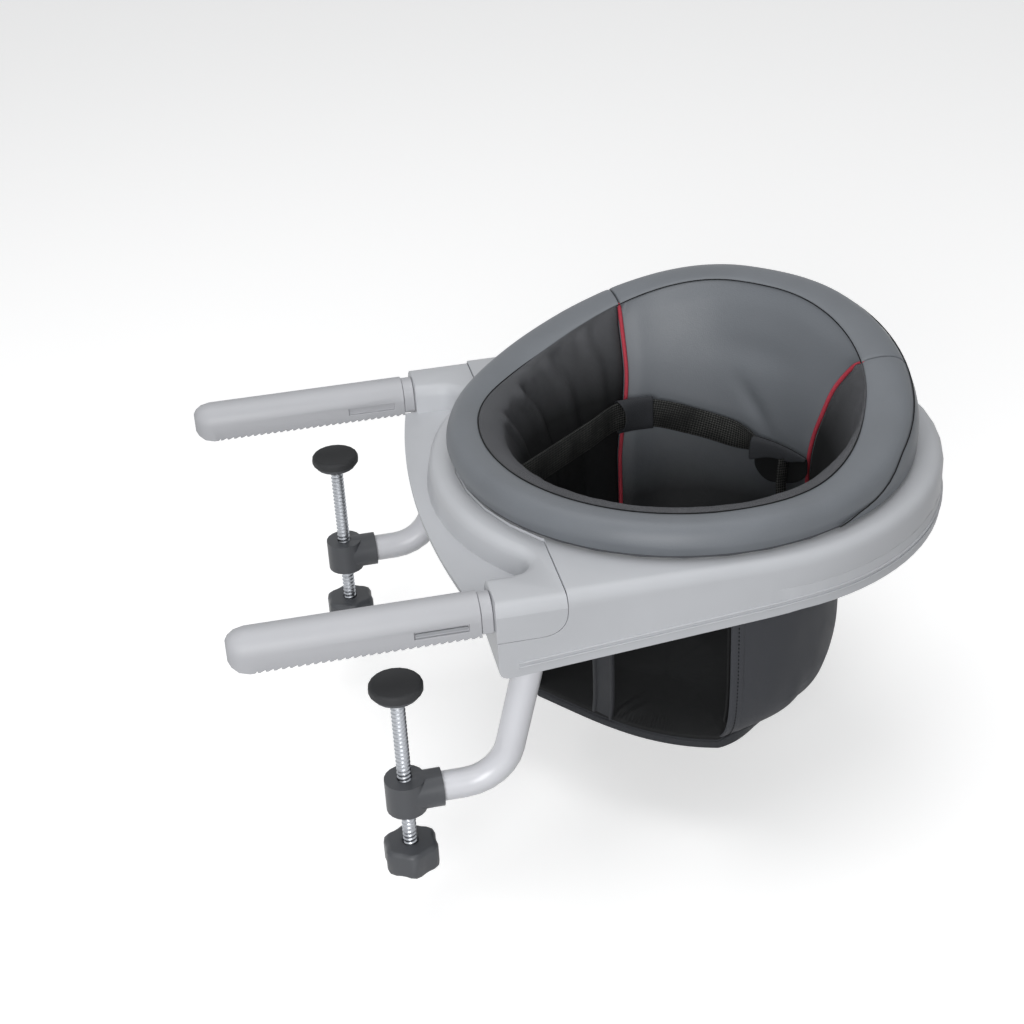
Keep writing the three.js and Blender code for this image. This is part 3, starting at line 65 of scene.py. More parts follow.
# Millimetres unless a name says otherwise. The seat is described by a radius from its axis, an angle in
# degrees from straight back (the sitter's left is positive) and a height above the table top.
MM = 0.001
SEAT_AXIS = Vector((0, 210, 0))
SEAT_BACK = 135  # degrees from +X to the direction of the seat's back
SIDES = ("left", "right")
SHARP = 36  # degrees between faces from which an edge of a solid stays an edge

# Base
BASE_HALF_WIDTH = 213
BASE_BACK_CENTRE = 224
BASE_FRONT = 20  # y where the beads along the lower edge start
EDGE_FRONT = -37.5  # the lower edge slopes up from this height to the next, between two values of y
EDGE_BACK = -17
EDGE_FROM = 13
EDGE_KNEE = 250
BEAD_LIFTS = (8.4, 12.3)  # two beads round the wall, above its lower edge
BEAD_RADIUS = 1
BEAD_OUT = 0.3  # from the wall out to a bead's centre

# Padded rim
RIM_OUTER = 201.8
SEAM_BACK_RADIUS = 157.5  # where the rim's cover is sewn to the lining
SEAM_FRONT_RADIUS = 172
RIM_SEAT = 37.3
RIM_LIP_INNER = 198.4
RIM_LIP_BOTTOM = 36
RIM_FRONT_TOP = 62
RIM_BACK_TOP = 118.5
SEAM_BELOW_TOP = 3.8
# The dark cord in a seam is painted shade for the seam's groove.
SEAM_SHADE_RADIUS = 0.55  # radius of the dark line in a seam
SEAM_AT_PANEL = (0.35, -0.35)  # how far that line lies outward and upward of the seam
SEAM_AT_LINING = (1.5, 2.1)
LEFT_SEAM = 49  # degrees from straight back to the rim's cross seams
RIGHT_SEAM = -52
RIM_MIDDLE_RADIUS = 185
SEAM_TUCK = 0.025  # share by which a cross seam draws the padding towards its middle
SKIRT_SPAN = 112  # degrees to each side of straight back
SKIRT_END_TOP = 43
SKIRT_BELOW_TOP = 9
SKIRT_PROUD = 0.7

# Hanging bag
BAG_TOP = 36
BAG_TOP_RADIUS = 163.5
BAG_NECK = -20
BAG_NECK_RADIUS = 143
BAG_FLARE = 50  # height over which it widens from its neck to its top
BAG_BOTTOM = -209
BAG_BACK_RADIUS = 121
BAG_HEM_RADIUS = 122
BAG_FULLNESS = 8  # how late the bag draws in towards its bottom
BAG_LEAN = 11
BAG_FAR_CORNER = 5  # the far leg opening's lower corner stands further out
BAG_HEM = 133  # degrees from straight back
BAG_CLOTH = 1.4
HEM_WIDTH = 12
HEM_STITCHES = 5.5  # from the hem's edge to its stitches

# Padded lining
PAD = 9
PAD_CLOTH = 2
PAD_EDGE = 2.5  # thickness left at a sewn edge
PAD_ROLL = 10  # distance over which a sewn edge rounds off
LINING_TOP_RADIUS = 164.6
LINING_OVER_SEAM = 1.6  # how far its upper edge reaches over the rim's seam
LINING_INSIDE_BAG = 4.4
LEAN_FROM = -45  # height above which the padding leans outward
LINING_FRONT_BOTTOM = -5
LINING_BOTTOM = -188
LINING_FOLDS = [(99, 7, 8), (81, 6, 5), (64, 3, 4), (118, 8, 5)]  # angle, lean in degrees, depth
PANEL_CROWN = 3
PIPING_RADIUS = 2
SEWN_TO_PIPING = 2.4  # from the piping's centre to the edges sewn to it
TUCKED_UNDER_PIPING = 4  # how far the panel's edge reaches behind the piping

# Seat pan and crotch strap
PAN_TOP = -209.4
PAN_BOTTOM = -222.5
PAN_BAND = 7.5  # height of the band along the pan's front
PAN_TAPER = 15  # how far the bottom draws in under the bag
PAN_LAP = 2  # how far the pan's edge reaches up inside the bag
PAN_SWELL = 40  # distance over which the pan's top swells up from its edge
PAN_FRONT = 101
PAN_FRONT_REACH = 0.98  # share of the way from the middle of the front to the bag's hems
STRAP_LEAN = 24
STRAP_EDGE = [(-10, -1), (-10, 2.4), (-9, 3.4), (-7.4, 3.2), (-6.4, 1.2)]  # its rolled edge's section

# Waist belt
WEBBING_WIDTH = 28
WEBBING_THICKNESS = 1.8
BELT_RADIUS = 120.6
BELT_START = (130, 6)  # angle and height where its left end is sewn on
BELT_POINTS = [(57, -3), (41, -5), (23, -15), (7, -22), (-5, -25.5), (-10, -27.5)]
BELT_TWIST = 0.7  # radians, where it enters the right keeper
TAIL_WIDTH = 11
TAIL_POINTS = [(116, -26, -26), (112, -27.5, -44), (109, -29.5, -60)]  # radius, angle and height
KEEPER_FROM = 57  # degrees from straight back
KEEPER_TO = 40.5
KEEPER_WIDTH = 34
KEEPER_THICKNESS = 6
KEEPER_ROLL = 2.5
KEEPER_CLOTH = 0.8
RIGHT_KEEPER = [  # angle, then the heights of its front's lower edge and its back's
    (-8, -37.5, -48), (-11, -35.5, -57), (-15, -32, -60.5),
    (-19, -29.5, -59), (-23, -28.5, -56), (-27, -28.5, -53),
    (-31, -26, -48.5), (-34.5, -22, -42), (-37.5, -20, -34),
]

# Clamp screws
SCREW_RADIUS = 6
THREAD_PITCH = 4
THREAD_DEPTH = 0.9
THREAD_CREST = 0.6

# Stage, in metres (the lens in mm). Floor and world look paler than the light that they give.
FLOOR_HEIGHT = -0.30
FLOOR_HALF_WIDTH = 8
FLOOR_LIGHT = (110, 110, 111)
FLOOR_SEEN = (245, 245, 245)
FLOOR_GLOW = 0.4
WORLD_COLOUR = (0.98, 0.99, 1.0, 1)
WORLD_LIGHT = 0.24
WORLD_SEEN = 0.85
LIGHTS = [  # name, place, size and watts
    ("Overhead", (0.1, -0.1, 2.2), 2.2, 30),
    ("Camera side", (2.3, -0.8, 0.8), 1.3, 45),
]
CAMERA_PLACE = (1.3854, -0.1890, 0.8236)
CAMERA_AXES = [  # its right, up and back
    (0.204, 0.97783, -0.04747),
    (-0.4942, 0.14468, 0.85724),
    (0.8451, -0.15136, 0.51275),
]
CAMERA_LENS = 66.13
CAMERA_SENSOR = 36


def lerp(a, b, share):
    return a + (b - a) * share


def smoothstep(x, low, high):
    share = min(max((x - low) / (high - low), 0), 1)
    return share * share * (3 - 2 * share)


def rounded(share):
    """A quarter circle's rise from 0 to 1, for padding that rolls over an edge."""
    share = min(max(share, 0), 1)
    return sqrt(share * (2 - share))


def bump(x, centre, width):
    return exp(-(((x - centre) / width) ** 2))


def wrapped(angle):
    return (angle + 180) % 360 - 180


def spread(start, end, step):
    count = max(1, round(abs(end - start) / step))
    return [lerp(start, end, i / count) for i in range(count + 1)]


def degrees_along(distance, radius):
    """The turn that a distance along a circle makes."""
    return degrees(distance / radius)


def seat_place(radius, angle, height):
    """A point of the seat in the frame, in metres."""
    turn = radians(SEAT_BACK + angle)
    return (SEAT_AXIS + Vector((radius * cos(turn), radius * sin(turn), height))) * MM


def seat_xy(x, y, z):
    """A point given by the seat's own left-right and front-back distances."""
    turn = Matrix.Rotation(radians(SEAT_BACK - 90), 3, "Z")
    return (SEAT_AXIS + turn @ Vector((x, y, z))) * MM


# Materials


def srgb(red, green, blue):
    def linear(value):
        value /= 255
        return value / 12.92 if value <= 0.04045 else ((value + 0.055) / 1.055) ** 2.4

    return (linear(red), linear(green), linear(blue), 1)


def shaded(colour, factor):
    return tuple(channel * factor for channel in colour[:3]) + (1,)


class Finish:
    """A material whose node tree is built step by step."""

    def __init__(self, name, roughness, **shader_values):
        self.material = bpy.data.materials.new(name)
        self.material.use_nodes = True
        self.tree = self.material.node_tree
        self.shader = self.tree.nodes["Principled BSDF"]
        self.roughness = roughness
        for socket, value in shader_values.items():
            self.shader.inputs[socket.replace("_", " ")].default_value = value

    def node(self, kind, sockets, **settings):
        made = self.tree.nodes.new(kind)
        for name, value in settings.items():
            setattr(made, name, value)
        for name, value in sockets.items():
            if isinstance(value, bpy.types.NodeSocket):
                self.tree.links.new(value, made.inputs[name])
            else:
                made.inputs[name].default_value = value
        return made

    def coordinates(self, kind):
        return self.node("ShaderNodeTexCoord", {}).outputs[kind]

    def noise(self, where, size, detail=2.0):
        """A noise whose features are about size metres across."""
        made = self.node("ShaderNodeTexNoise", {"Vector": where, "Scale": 1 / size, "Detail": detail})
        return made.outputs["Fac"]

    def range(self, value, low, high, start=0.3, end=0.7):
        sockets = {"Value": value, "From Min": start, "From Max": end, "To Min": low, "To Max": high}
        return self.node("ShaderNodeMapRange", sockets).outputs["Result"]

    def painted_shade_fade(self, start, end):
        """1 near the piece's upper edge and 0 deep below it, from start to end metres: the factor of
        painted shade that darkens a colour with depth.
        """
        split = self.node("ShaderNodeSeparateXYZ", {"Vector": self.coordinates("UV")})
        return self.range(split.outputs["Y"], 1, 0, start, end)

    def maths(self, operation, first, second):
        made = self.node("ShaderNodeMath", {0: first, 1: second}, operation=operation)
        return made.outputs[0]

    def colours(self, factor, first, second, start=0.3, end=0.7):
        made = self.node("ShaderNodeValToRGB", {"Fac": factor})
        for element, position, colour in zip(made.color_ramp.elements, (start, end), (first, second)):
            element.position = position
            element.color = colour
        self.tree.links.new(made.outputs["Color"], self.shader.inputs["Base Color"])

    def uneven_roughness(self, factor, change):
        rough = self.range(factor, self.roughness - change, self.roughness + change)
        self.tree.links.new(rough, self.shader.inputs["Roughness"])

    def relief(self, height, depth, strength=1.0):
        made = self.node("ShaderNodeBump", {"Height": height, "Distance": depth, "Strength": strength})
        self.tree.links.new(made.outputs["Normal"], self.shader.inputs["Normal"])


def moulded(name, colour, roughness, grain=0.0005, depth=0.00002, **shader_values):
    """Plastic, paint or metal with a fine grain and a faintly uneven tone."""
    finish = Finish(name, roughness, **shader_values)
    where = finish.coordinates("Object")
    broad = finish.noise(where, 0.09, 3)
    finish.colours(broad, shaded(colour, 0.96), shaded(colour, 1.03))
    finish.uneven_roughness(broad, 0.05)
    finish.relief(finish.noise(where, grain), depth)
    return finish.material


def coated_cloth(name, colour, roughness, darkest=0.93, deep=None):
    """Vinyl with a pebbled grain. Where deep is given, painted shade darkens it between these depths
    below its upper edge, in metres."""
    finish = Finish(name, roughness, Specular_IOR_Level=0.28)
    where = finish.coordinates("Object")
    broad = finish.noise(where, 0.06, 4)
    tone = broad
    # Painted shade: the colour darkens with depth below the upper edge.
    if deep:
        tone = finish.maths("MULTIPLY", finish.range(broad, 0.9, 1), finish.painted_shade_fade(*deep))
    finish.colours(tone, shaded(colour, darkest), shaded(colour, 1.05))
    finish.uneven_roughness(broad, 0.06)
    pebbles = finish.node("ShaderNodeTexVoronoi", {"Vector": where, "Scale": 900.0}).outputs["Distance"]
    finish.relief(finish.maths("ADD", pebbles, finish.noise(where, 0.004)), 0.00012, 0.6)
    return finish.material


def woven(name, dark, light, pitch, roughness, depth, light_from=0.1, deep=None):
    """A plain weave along the piece's own length and width, with threads pitch metres apart. The threads
    get lighter where they stand higher than light_from. Where deep is given, painted shade darkens the
    cloth between these depths below its upper edge, in metres."""
    finish = Finish(name, roughness, Specular_IOR_Level=0.2)
    where = finish.coordinates("UV")
    wave = 0.314 / (2 * pitch)  # a wave texture of scale 1 repeats every 0.314 m
    warp = finish.node("ShaderNodeTexWave", {"Vector": where, "Scale": wave}, bands_direction="X")
    weft = finish.node("ShaderNodeTexWave", {"Vector": where, "Scale": wave}, bands_direction="Y")
    over = finish.node("ShaderNodeTexChecker", {"Vector": where, "Scale": 1 / pitch}).outputs["Fac"]
    under = finish.maths("SUBTRACT", 1.0, over)
    height = finish.maths(
        "ADD",
        finish.maths("MULTIPLY", warp.outputs["Fac"], over),
        finish.maths("MULTIPLY", weft.outputs["Fac"], under),
    )
    worn = finish.noise(where, 0.03, 4)
    tone = finish.maths("MULTIPLY", height, finish.range(worn, 0.8, 1.05))
    # Painted shade: the cloth darkens with depth below its upper edge.
    if deep:
        tone = finish.maths("MULTIPLY", tone, finish.painted_shade_fade(*deep))
    finish.colours(tone, dark, light, light_from, 0.95)
    finish.uneven_roughness(worn, 0.05)
    finish.relief(height, depth)
    return finish.material


FINISHES = {
    "base_plastic": moulded("Base plastic", srgb(184, 186, 190), 0.42, Specular_IOR_Level=0.45),
    "sleeve_plastic": moulded("Sleeve plastic", srgb(174, 175, 179), 0.48, 0.0008, 0.00003),
    "clip_plastic": moulded("Clip plastic", srgb(150, 152, 156), 0.5),
    "dark_plastic": moulded("Dark plastic", srgb(66, 68, 72), 0.45),
    "glide_plastic": moulded("Glide plastic", srgb(225, 224, 218), 0.35),
    "painted_tube": moulded("Powder coat", srgb(210, 211, 216), 0.35, 0.0007, 0.00003, Coat_Weight=0.25),
    "steel": moulded("Zinc", srgb(176, 179, 184), 0.32, 0.003, 0.00001, Metallic=1.0),
    "pad_rubber": moulded("Rubber", srgb(40, 41, 43), 0.75, 0.0004, 0.00004),
    "grey_vinyl": coated_cloth("Grey vinyl", srgb(110, 114, 119), 0.44),
    # A darker copy of the rim's vinyl, as painted shade, with more painted shade that darkens it deep
    # below its upper edge.
    "panel_vinyl": coated_cloth(
        "Panel vinyl", srgb(104, 108, 113), 0.44, darkest=0.1, deep=(0.09, 0.27),
    ),
    "piping_cloth": woven("Red piping", srgb(168, 50, 64), srgb(200, 78, 92), 0.0006, 0.6, 0.0002),
    "black_cloth": woven("Black nylon", srgb(50, 51, 55), srgb(78, 80, 85), 0.0004, 0.6, 0.00008),
    # Charcoal lining, with painted shade that darkens it to its near-black colour deep below its upper
    # edge.
    "lining": woven(
        "Charcoal lining", srgb(20, 21, 22), srgb(114, 115, 119), 0.0004, 0.8, 0.00008,
        light_from=0.0, deep=(0.018, 0.068),
    ),
    "webbing": woven(
        "Black webbing", srgb(17, 18, 18), srgb(96, 97, 94), 0.0012, 0.7, 0.0004, light_from=0.72,
    ),
    # Near-black cloth: the thread of the stitches, and painted shade for the seam lines and the right
    # keeper's inside.
    "thread_and_painted_shade": woven("Dark thread and painted shade", srgb(16, 17, 18), srgb(26, 27, 28), 0.0006, 0.8, 0.00008),
    "pan_cloth": woven("Pan cloth", srgb(13, 14, 15), srgb(25, 26, 27), 0.0004, 0.6, 0.00008),
    "trim_cloth": woven("Black trim", srgb(38, 39, 42), srgb(60, 62, 66), 0.0004, 0.6, 0.00008),
}


# Pieces


def piece(bm, name, body, finish, sharp=None):
    """An object of the scene from a bmesh, riding on a body."""
    bmesh.ops.recalc_face_normals(bm, faces=bm.faces)
    mesh = bpy.data.meshes.new(name)
    bm.to_mesh(mesh)
    bm.free()
    mesh.shade_smooth()
    if sharp:
        mesh.set_sharp_from_angle(angle=radians(sharp))
    mesh.materials.append(FINISHES[finish])
    obj = bpy.data.objects.new(name, mesh)
    bpy.context.scene.collection.objects.link(obj)
    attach(obj, body)
    return obj


def subdivided(obj, levels):
    modifier = obj.modifiers.new("Subdivision", "SUBSURF")
    modifier.levels = levels
    modifier.render_levels = levels


def thickened(obj, thickness):
    modifier = obj.modifiers.new("Thickness", "SOLIDIFY")
    modifier.thickness = thickness * MM
    modifier.offset = -1


def dressed(node, finish, edge):
    """A copy of a solid with smooth shading and broken edges, shown in its place."""
    source = frame["nodes"][node]
    bm = bmesh.new()
    bm.from_mesh(source.data)
    bmesh.ops.remove_doubles(bm, verts=bm.verts, dist=0.00001)
    bmesh.ops.dissolve_limit(bm, angle_limit=radians(0.5), verts=bm.verts, edges=bm.edges)
    obj = piece(bm, "shown_" + node, source["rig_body"], finish, sharp=SHARP)
    modifier = obj.modifiers.new("Edges", "BEVEL")
    modifier.width = edge * MM
    modifier.segments = 2
    modifier.limit_method = "ANGLE"
    modifier.angle_limit = radians(SHARP)
    modifier.harden_normals = True
    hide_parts(node)


def skin(points, stations, place, closed=True):
    """A strip of quads, spun up and then put in place: place(i, j) is point i of station j, in metres.
    The pattern coordinates are metres along the stations and along the points."""
    bm = bmesh.new()
    first = [bm.verts.new((1, 0, i)) for i in range(points)]
    pairs = list(zip(first, first[1:]))
    if closed:
        pairs.append((first[-1], first[0]))
    edges = [bm.edges.new(pair) for pair in pairs]
    step = 0.002  # radians between stations until they are put in place
    bmesh.ops.spin(
        bm, geom=first + edges, cent=(0, 0, 0), axis=(0, 0, 1), dvec=(0, 0, 0),
        angle=step * (stations - 1), steps=stations - 1, use_merge=False,
    )
    row = bm.verts.layers.int.new("row")
    column = bm.verts.layers.int.new("column")
    for vert in bm.verts:
        vert[row] = round(vert.co.z)
        vert[column] = round(atan2(vert.co.y, vert.co.x) / step)
    for vert in bm.verts:
        vert.co = place(vert[row], vert[column])
    middle = stations // 2
    along = lengths([place(points // 2, j) for j in range(stations)])
    around = lengths([place(i, middle) for i in range(points)] + [place(0, middle)])
    pattern = bm.loops.layers.uv.new("Pattern")
    for face in bm.faces:
        last = closed and any(vert[row] == points - 1 for vert in face.verts)
        for loop in face.loops:
            i = loop.vert[row] or (points if last else 0)
            loop[pattern].uv = (along[loop.vert[column]], around[i])
    return bm


def lengths(points):
    """Distance along a row of points."""
    found = [0.0]
    for a, b in zip(points, points[1:]):
        found.append(found[-1] + (b - a).length)
    return found


def capped(bm):
    bmesh.ops.holes_fill(bm, edges=[edge for edge in bm.edges if edge.is_boundary], sides=0)
    return bm


def smooth_path(points, count):
    """A Catmull-Rom curve through the points."""
    padded = [2 * points[0] - points[1], *points, 2 * points[-1] - points[-2]]
    curve = []
    for k in range(count):
        place = k / (count - 1) * (len(points) - 1)
        i = min(int(place), len(points) - 2)
        t = place - i
        a, b, c, d = padded[i:i + 4]
        curve.append(0.5 * (
            2 * b + (c - a) * t + (2 * a - 5 * b + 4 * c - d) * t ** 2 + (3 * b - a - 3 * c + d) * t ** 3
        ))
    return curve


def swept(path, section, upright=Vector((0, 0, 1)), twist=None):
    """Carries a section of (across, out) points in mm along a path. twist(point) turns it there, in
    radians."""
    stations = []
    for j, point in enumerate(path):
        ahead = path[min(j + 1, len(path) - 1)] - path[max(j - 1, 0)]
        ahead.normalize()
        across = (upright - ahead * upright.dot(ahead)).normalized()
        stations.append((point, across, ahead.cross(across)))

    def place(i, j):
        point, across, out = stations[j]
        x, y = section[i]
        turn = twist(point) if twist else 0
        x, y = x * cos(turn) - y * sin(turn), x * sin(turn) + y * cos(turn)
        return point + (across * x + out * y) * MM

    return skin(len(section), len(path), place)


def circle(radius, count):
    return [(radius * cos(tau * k / count), radius * sin(tau * k / count)) for k in range(count)]


def flat_section(width, thickness, roll=0.4):
    """A flat strap's section with softened edges."""
    w, t = width / 2, thickness / 2
    return [
        (-w, -t + roll), (-w + roll, -t), (0, -t), (w - roll, -t), (w, -t + roll),
        (w, t - roll), (w - roll, t), (0, t), (-w + roll, t), (-w, t - roll),
    ]


def stitches(name, path, body, pitch=4, length=2.6, radius=0.6):
    """A row of short threads along a path."""
    bm = bmesh.new()
    distance = lengths(path)
    count = int(distance[-1] / (pitch * MM))
    for k in range(count):
        at = (k + 0.5) * pitch * MM
        j = max(i for i, so_far in enumerate(distance) if so_far <= at)
        j = min(j, len(path) - 2)
        share = (at - distance[j]) / max(distance[j + 1] - distance[j], 1e-9)
        turn = (path[j + 1] - path[j]).to_track_quat("X", "Z").to_matrix().to_4x4()
        size = Matrix.Diagonal((length / 2 * MM, radius * MM, radius * MM, 1))
        place = Matrix.Translation(path[j].lerp(path[j + 1], share)) @ turn @ size
        bmesh.ops.create_uvsphere(bm, u_segments=6, v_segments=5, radius=1, matrix=place)
    piece(bm, name, body, "thread_and_painted_shade")


# Base, arms and clamps

for node in ("base_shell", "front_cover", "base_underside"):
    dressed(node, "base_plastic", edge=0.3)
for side in SIDES:
    dressed(f"arm_sleeve_{side}", "sleeve_plastic", edge=0.5)
    dressed(f"arm_collar_{side}", "sleeve_plastic", edge=0.8)
    dressed(f"sleeve_clip_{side}", "clip_plastic", edge=0.4)
    dressed(f"lower_arm_tube_{side}", "painted_tube", edge=0.4)
    dressed(f"clamp_head_{side}", "dark_plastic", edge=1.0)
    dressed(f"clamp_nut_{side}", "steel", edge=0.5)
    dressed(f"clamp_pad_{side}", "pad_rubber", edge=1.2)
    dressed(f"pad_cup_{side}", "dark_plastic", edge=0.8)
    dressed(f"clamp_knob_{side}", "dark_plastic", edge=1.5)
    dressed(f"knob_cap_{side}", "dark_plastic", edge=0.5)
dressed("seat_ring", "dark_plastic", edge=0.5)
dressed("seat_retainer", "dark_plastic", edge=0.6)

PLAIN_NODES = {  # solids that keep their own shape
    "steel": [
        *(f"{part}_{side}" for part in ("upper_arm_tube", "stop_ring") for side in SIDES),
        *(f"socket_screw_{side}_{k}" for side in SIDES for k in (1, 2)),
        *(f"retainer_screw_{k}" for k in (1, 2, 3, 4)),
        "detent_spring",
        "detent_plunger",
    ],
    "dark_plastic": [*(f"arm_socket_{side}" for side in SIDES), "detent_housing"],
    "glide_plastic": ["glide_ring"],
}
for finish, nodes in PLAIN_NODES.items():
    for node in nodes:
        materials = frame["nodes"][node].data.materials
        materials.clear()
        materials.append(FINISHES[finish])


def edge_height(y):
    """Height of the base's sloping lower edge."""
    share = (y - EDGE_FROM) / (EDGE_KNEE - EDGE_FROM)
    return lerp(EDGE_FRONT, EDGE_BACK, min(max(share, 0), 1))


def wall_path(lift):
    """Round the outside of the base, a height above its lower edge, from the near hub to the far one."""
    straight = spread(BASE_FRONT, BASE_BACK_CENTRE, 10)
    half = BASE_HALF_WIDTH + BEAD_OUT
    points = [Vector((half, y, 0)) for y in straight]
    for turn in spread(0, 180, 3)[1:-1]:
        x = half * cos(radians(turn))
        y = BASE_BACK_CENTRE + half * sin(radians(turn))
        points.append(Vector((x, y, 0)))
    points += [Vector((-half, y, 0)) for y in reversed(straight)]
    return [Vector((p.x, p.y, edge_height(p.y) + lift)) * MM for p in points]


for k, lift in enumerate(BEAD_LIFTS, start=1):
    bead = capped(swept(wall_path(lift), circle(BEAD_RADIUS, 8)))
    piece(bead, f"base_bead_{k}", "base", "base_plastic")


def threaded_rod(node, finish):
    """A rod with a thread wound round it, in place of a plain one."""
    low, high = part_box(node)
    centre = (low + high) / 2
    turns = (high.z - low.z) / (THREAD_PITCH * MM) - 1
    steps = 20  # per turn
    count = int(turns * steps)
    root = (SCREW_RADIUS - THREAD_DEPTH) * MM
    crest = SCREW_RADIUS * MM
    foot = root - 0.2 * MM  # the thread starts inside the core
    flat = THREAD_CREST / 2 * MM
    half = 0.4 * THREAD_PITCH * MM
    outline = ((foot, -half), (crest, -flat), (crest, flat), (foot, half))
    start = low.z + half
    bm = bmesh.new()
    profile = []
    for radius, height in outline:
        profile.append(bm.verts.new((centre.x + radius, centre.y, start + height)))
    edges = [bm.edges.new(pair) for pair in zip(profile, profile[1:])]
    bmesh.ops.spin(
        bm, geom=profile + edges, cent=centre, axis=(0, 0, 1), angle=tau * count / steps, steps=count,
        dvec=(0, 0, THREAD_PITCH * MM / steps), use_merge=False,
    )
    bmesh.ops.create_cone(
        bm, cap_ends=True, segments=32, radius1=root, radius2=root, depth=high.z - low.z,
        matrix=Matrix.Translation(centre),
    )
    obj = piece(bm, "shown_" + node, frame["nodes"][node]["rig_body"], finish, sharp=SHARP)
    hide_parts(node)


for side in SIDES:
    threaded_rod(f"clamp_screw_{side}", "steel")


# Padded rim


def rise(angle):
    """0 along the low front of the rim, 1 at the top of its back. The left side falls away sooner."""
    angle = wrapped(angle)
    start, end = (10, 102) if angle > 0 else (5, 115)
    return 1 - smoothstep(abs(angle), start, end)


def rim_top(angle):
    return lerp(RIM_FRONT_TOP, RIM_BACK_TOP, rise(angle))


def seam_radius(angle):
    """The seam between rim and lining lies further in round the back than along the front."""
    return lerp(SEAM_BACK_RADIUS, SEAM_FRONT_RADIUS, smoothstep(abs(wrapped(angle)), 70, 125))


def seam_height(angle):
    return rim_top(angle) - SEAM_BELOW_TOP


def rim_side(angle, share):
    """Radius of the rim's outer side at a share of its height. It swells out and leans in at the top."""
    swell = (0.5 + 1.5 * rise(angle)) * bump(share, 0.36, 0.3)
    lean = 28 * max(share - 0.45, 0) ** 2
    return RIM_OUTER + swell - lean


def rim_section(angle):
    top = rim_top(angle)
    seam = seam_radius(angle)

    def level(share):
        return lerp(RIM_SEAT, top, share)

    def band(share):
        return lerp(seam, RIM_OUTER, share)

    return [
        (seam + 8, RIM_SEAT),
        (RIM_LIP_INNER, RIM_SEAT),
        (RIM_LIP_INNER + 0.6, RIM_LIP_BOTTOM + 0.6),
        (RIM_OUTER - 2, RIM_LIP_BOTTOM + 2.4),
        (RIM_OUTER, RIM_LIP_BOTTOM + 8),
        *((rim_side(angle, share), level(share)) for share in (0.4, 0.7, 0.93)),
        (band(0.62), top + 0.6),
        (band(0.36), top + 0.6),
        (band(0.14), top - 1),
        (seam - 1.2, top - 3.5),
        (seam + 3, top - 8),
        (seam + 6, level(0.5)),
    ]


def seam_angles(start, end):
    """Angles from one seam to the next, closer together at both."""
    close = [0.06, 0.4, 1, 2.2]
    middle = spread(start + 5, end - 5, 4)
    return [start + a for a in close] + middle + [end - a for a in reversed(close)]


def rim_pad(name, start, end, node):
    angles = seam_angles(start, end)

    def place(i, j):
        angle = angles[j]
        radius, height = rim_section(angle)[i]
        middle = lerp(RIM_SEAT, rim_top(angle), 0.5)
        from_seam = radians(min(angle - start, end - angle)) * RIM_OUTER
        full = 1 - SEAM_TUCK * bump(from_seam, 0, 1.5)
        soft = 0.5 * noise.noise(Vector((angle * 0.09, i * 0.6, 3)))
        radius = lerp(RIM_MIDDLE_RADIUS, radius, full) + soft
        return seat_place(radius, angle, lerp(middle, height, full))

    bm = capped(skin(len(rim_section(start)), len(angles), place))
    obj = piece(bm, name, "seat", "grey_vinyl")
    subdivided(obj, 2)
    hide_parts(node)


rim_pad("shown_rim_back", RIGHT_SEAM, LEFT_SEAM, "rim_pad_back")
rim_pad("shown_rim_front", LEFT_SEAM, 360 + RIGHT_SEAM, "rim_pad_front")


def seam_shade_line(name, points):
    """A dark cord along a sewn seam, painted shade for the seam's groove."""
    bm = capped(swept(points, circle(SEAM_SHADE_RADIUS, 6)))
    piece(bm, name, "seat", "thread_and_painted_shade")


def skirt_top(angle):
    """The skirt's upper edge, which runs down to the rim's lower edge at both ends."""
    from_end = SKIRT_SPAN - abs(angle)
    along = lerp(SKIRT_END_TOP, rim_top(angle) - SKIRT_BELOW_TOP, smoothstep(from_end, 6, 28))
    return lerp(RIM_LIP_BOTTOM + 1.5, along, smoothstep(from_end, 0, 8))


def skirt_radius(angle, height):
    return rim_side(angle, (height - RIM_SEAT) / (rim_top(angle) - RIM_SEAT))


def rim_skirt():
    angles = spread(-SKIRT_SPAN, SKIRT_SPAN, 3)
    shares = spread(0, 1, 0.125)

    def place(i, j):
        angle = angles[j]
        outside = i < len(shares)
        share = shares[i] if outside else shares[2 * len(shares) - 1 - i]
        height = lerp(RIM_LIP_BOTTOM + 1, skirt_top(angle), share)
        proud = SKIRT_PROUD * smoothstep(SKIRT_SPAN - abs(angle), 0, 12)
        out = proud * rounded((1 - share) * 6) if outside else -2
        return seat_place(skirt_radius(angle, height) + out, angle, height)

    bm = capped(skin(2 * len(shares), len(angles), place))
    obj = piece(bm, "shown_rim_skirt", "seat", "grey_vinyl")
    subdivided(obj, 1)
    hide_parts("rim_skirt")
    # The skirt's seam, drawn as a dark cord of painted shade.
    sewn = []
    for angle in angles:
        top = skirt_top(angle)
        sewn.append(seat_place(skirt_radius(angle, top), angle, top))
    seam_shade_line("skirt_seam_shade", sewn)


rim_skirt()


def rim_seam_shade():
    """The line where the rim is sewn to the panel, sunk there, and to the lining, which it lies on: a
    dark cord of painted shade for the seam's groove.
    """
    points = []
    for angle in spread(0, 360, 3):
        along_lining = smoothstep(abs(wrapped(angle)), 60, 95)
        outward, upward = (lerp(a, b, along_lining) for a, b in zip(SEAM_AT_PANEL, SEAM_AT_LINING))
        points.append(seat_place(seam_radius(angle) + outward, angle, seam_height(angle) + upward))
    seam_shade_line("rim_seam_shade", points)


rim_seam_shade()


# Hanging bag and its padded lining


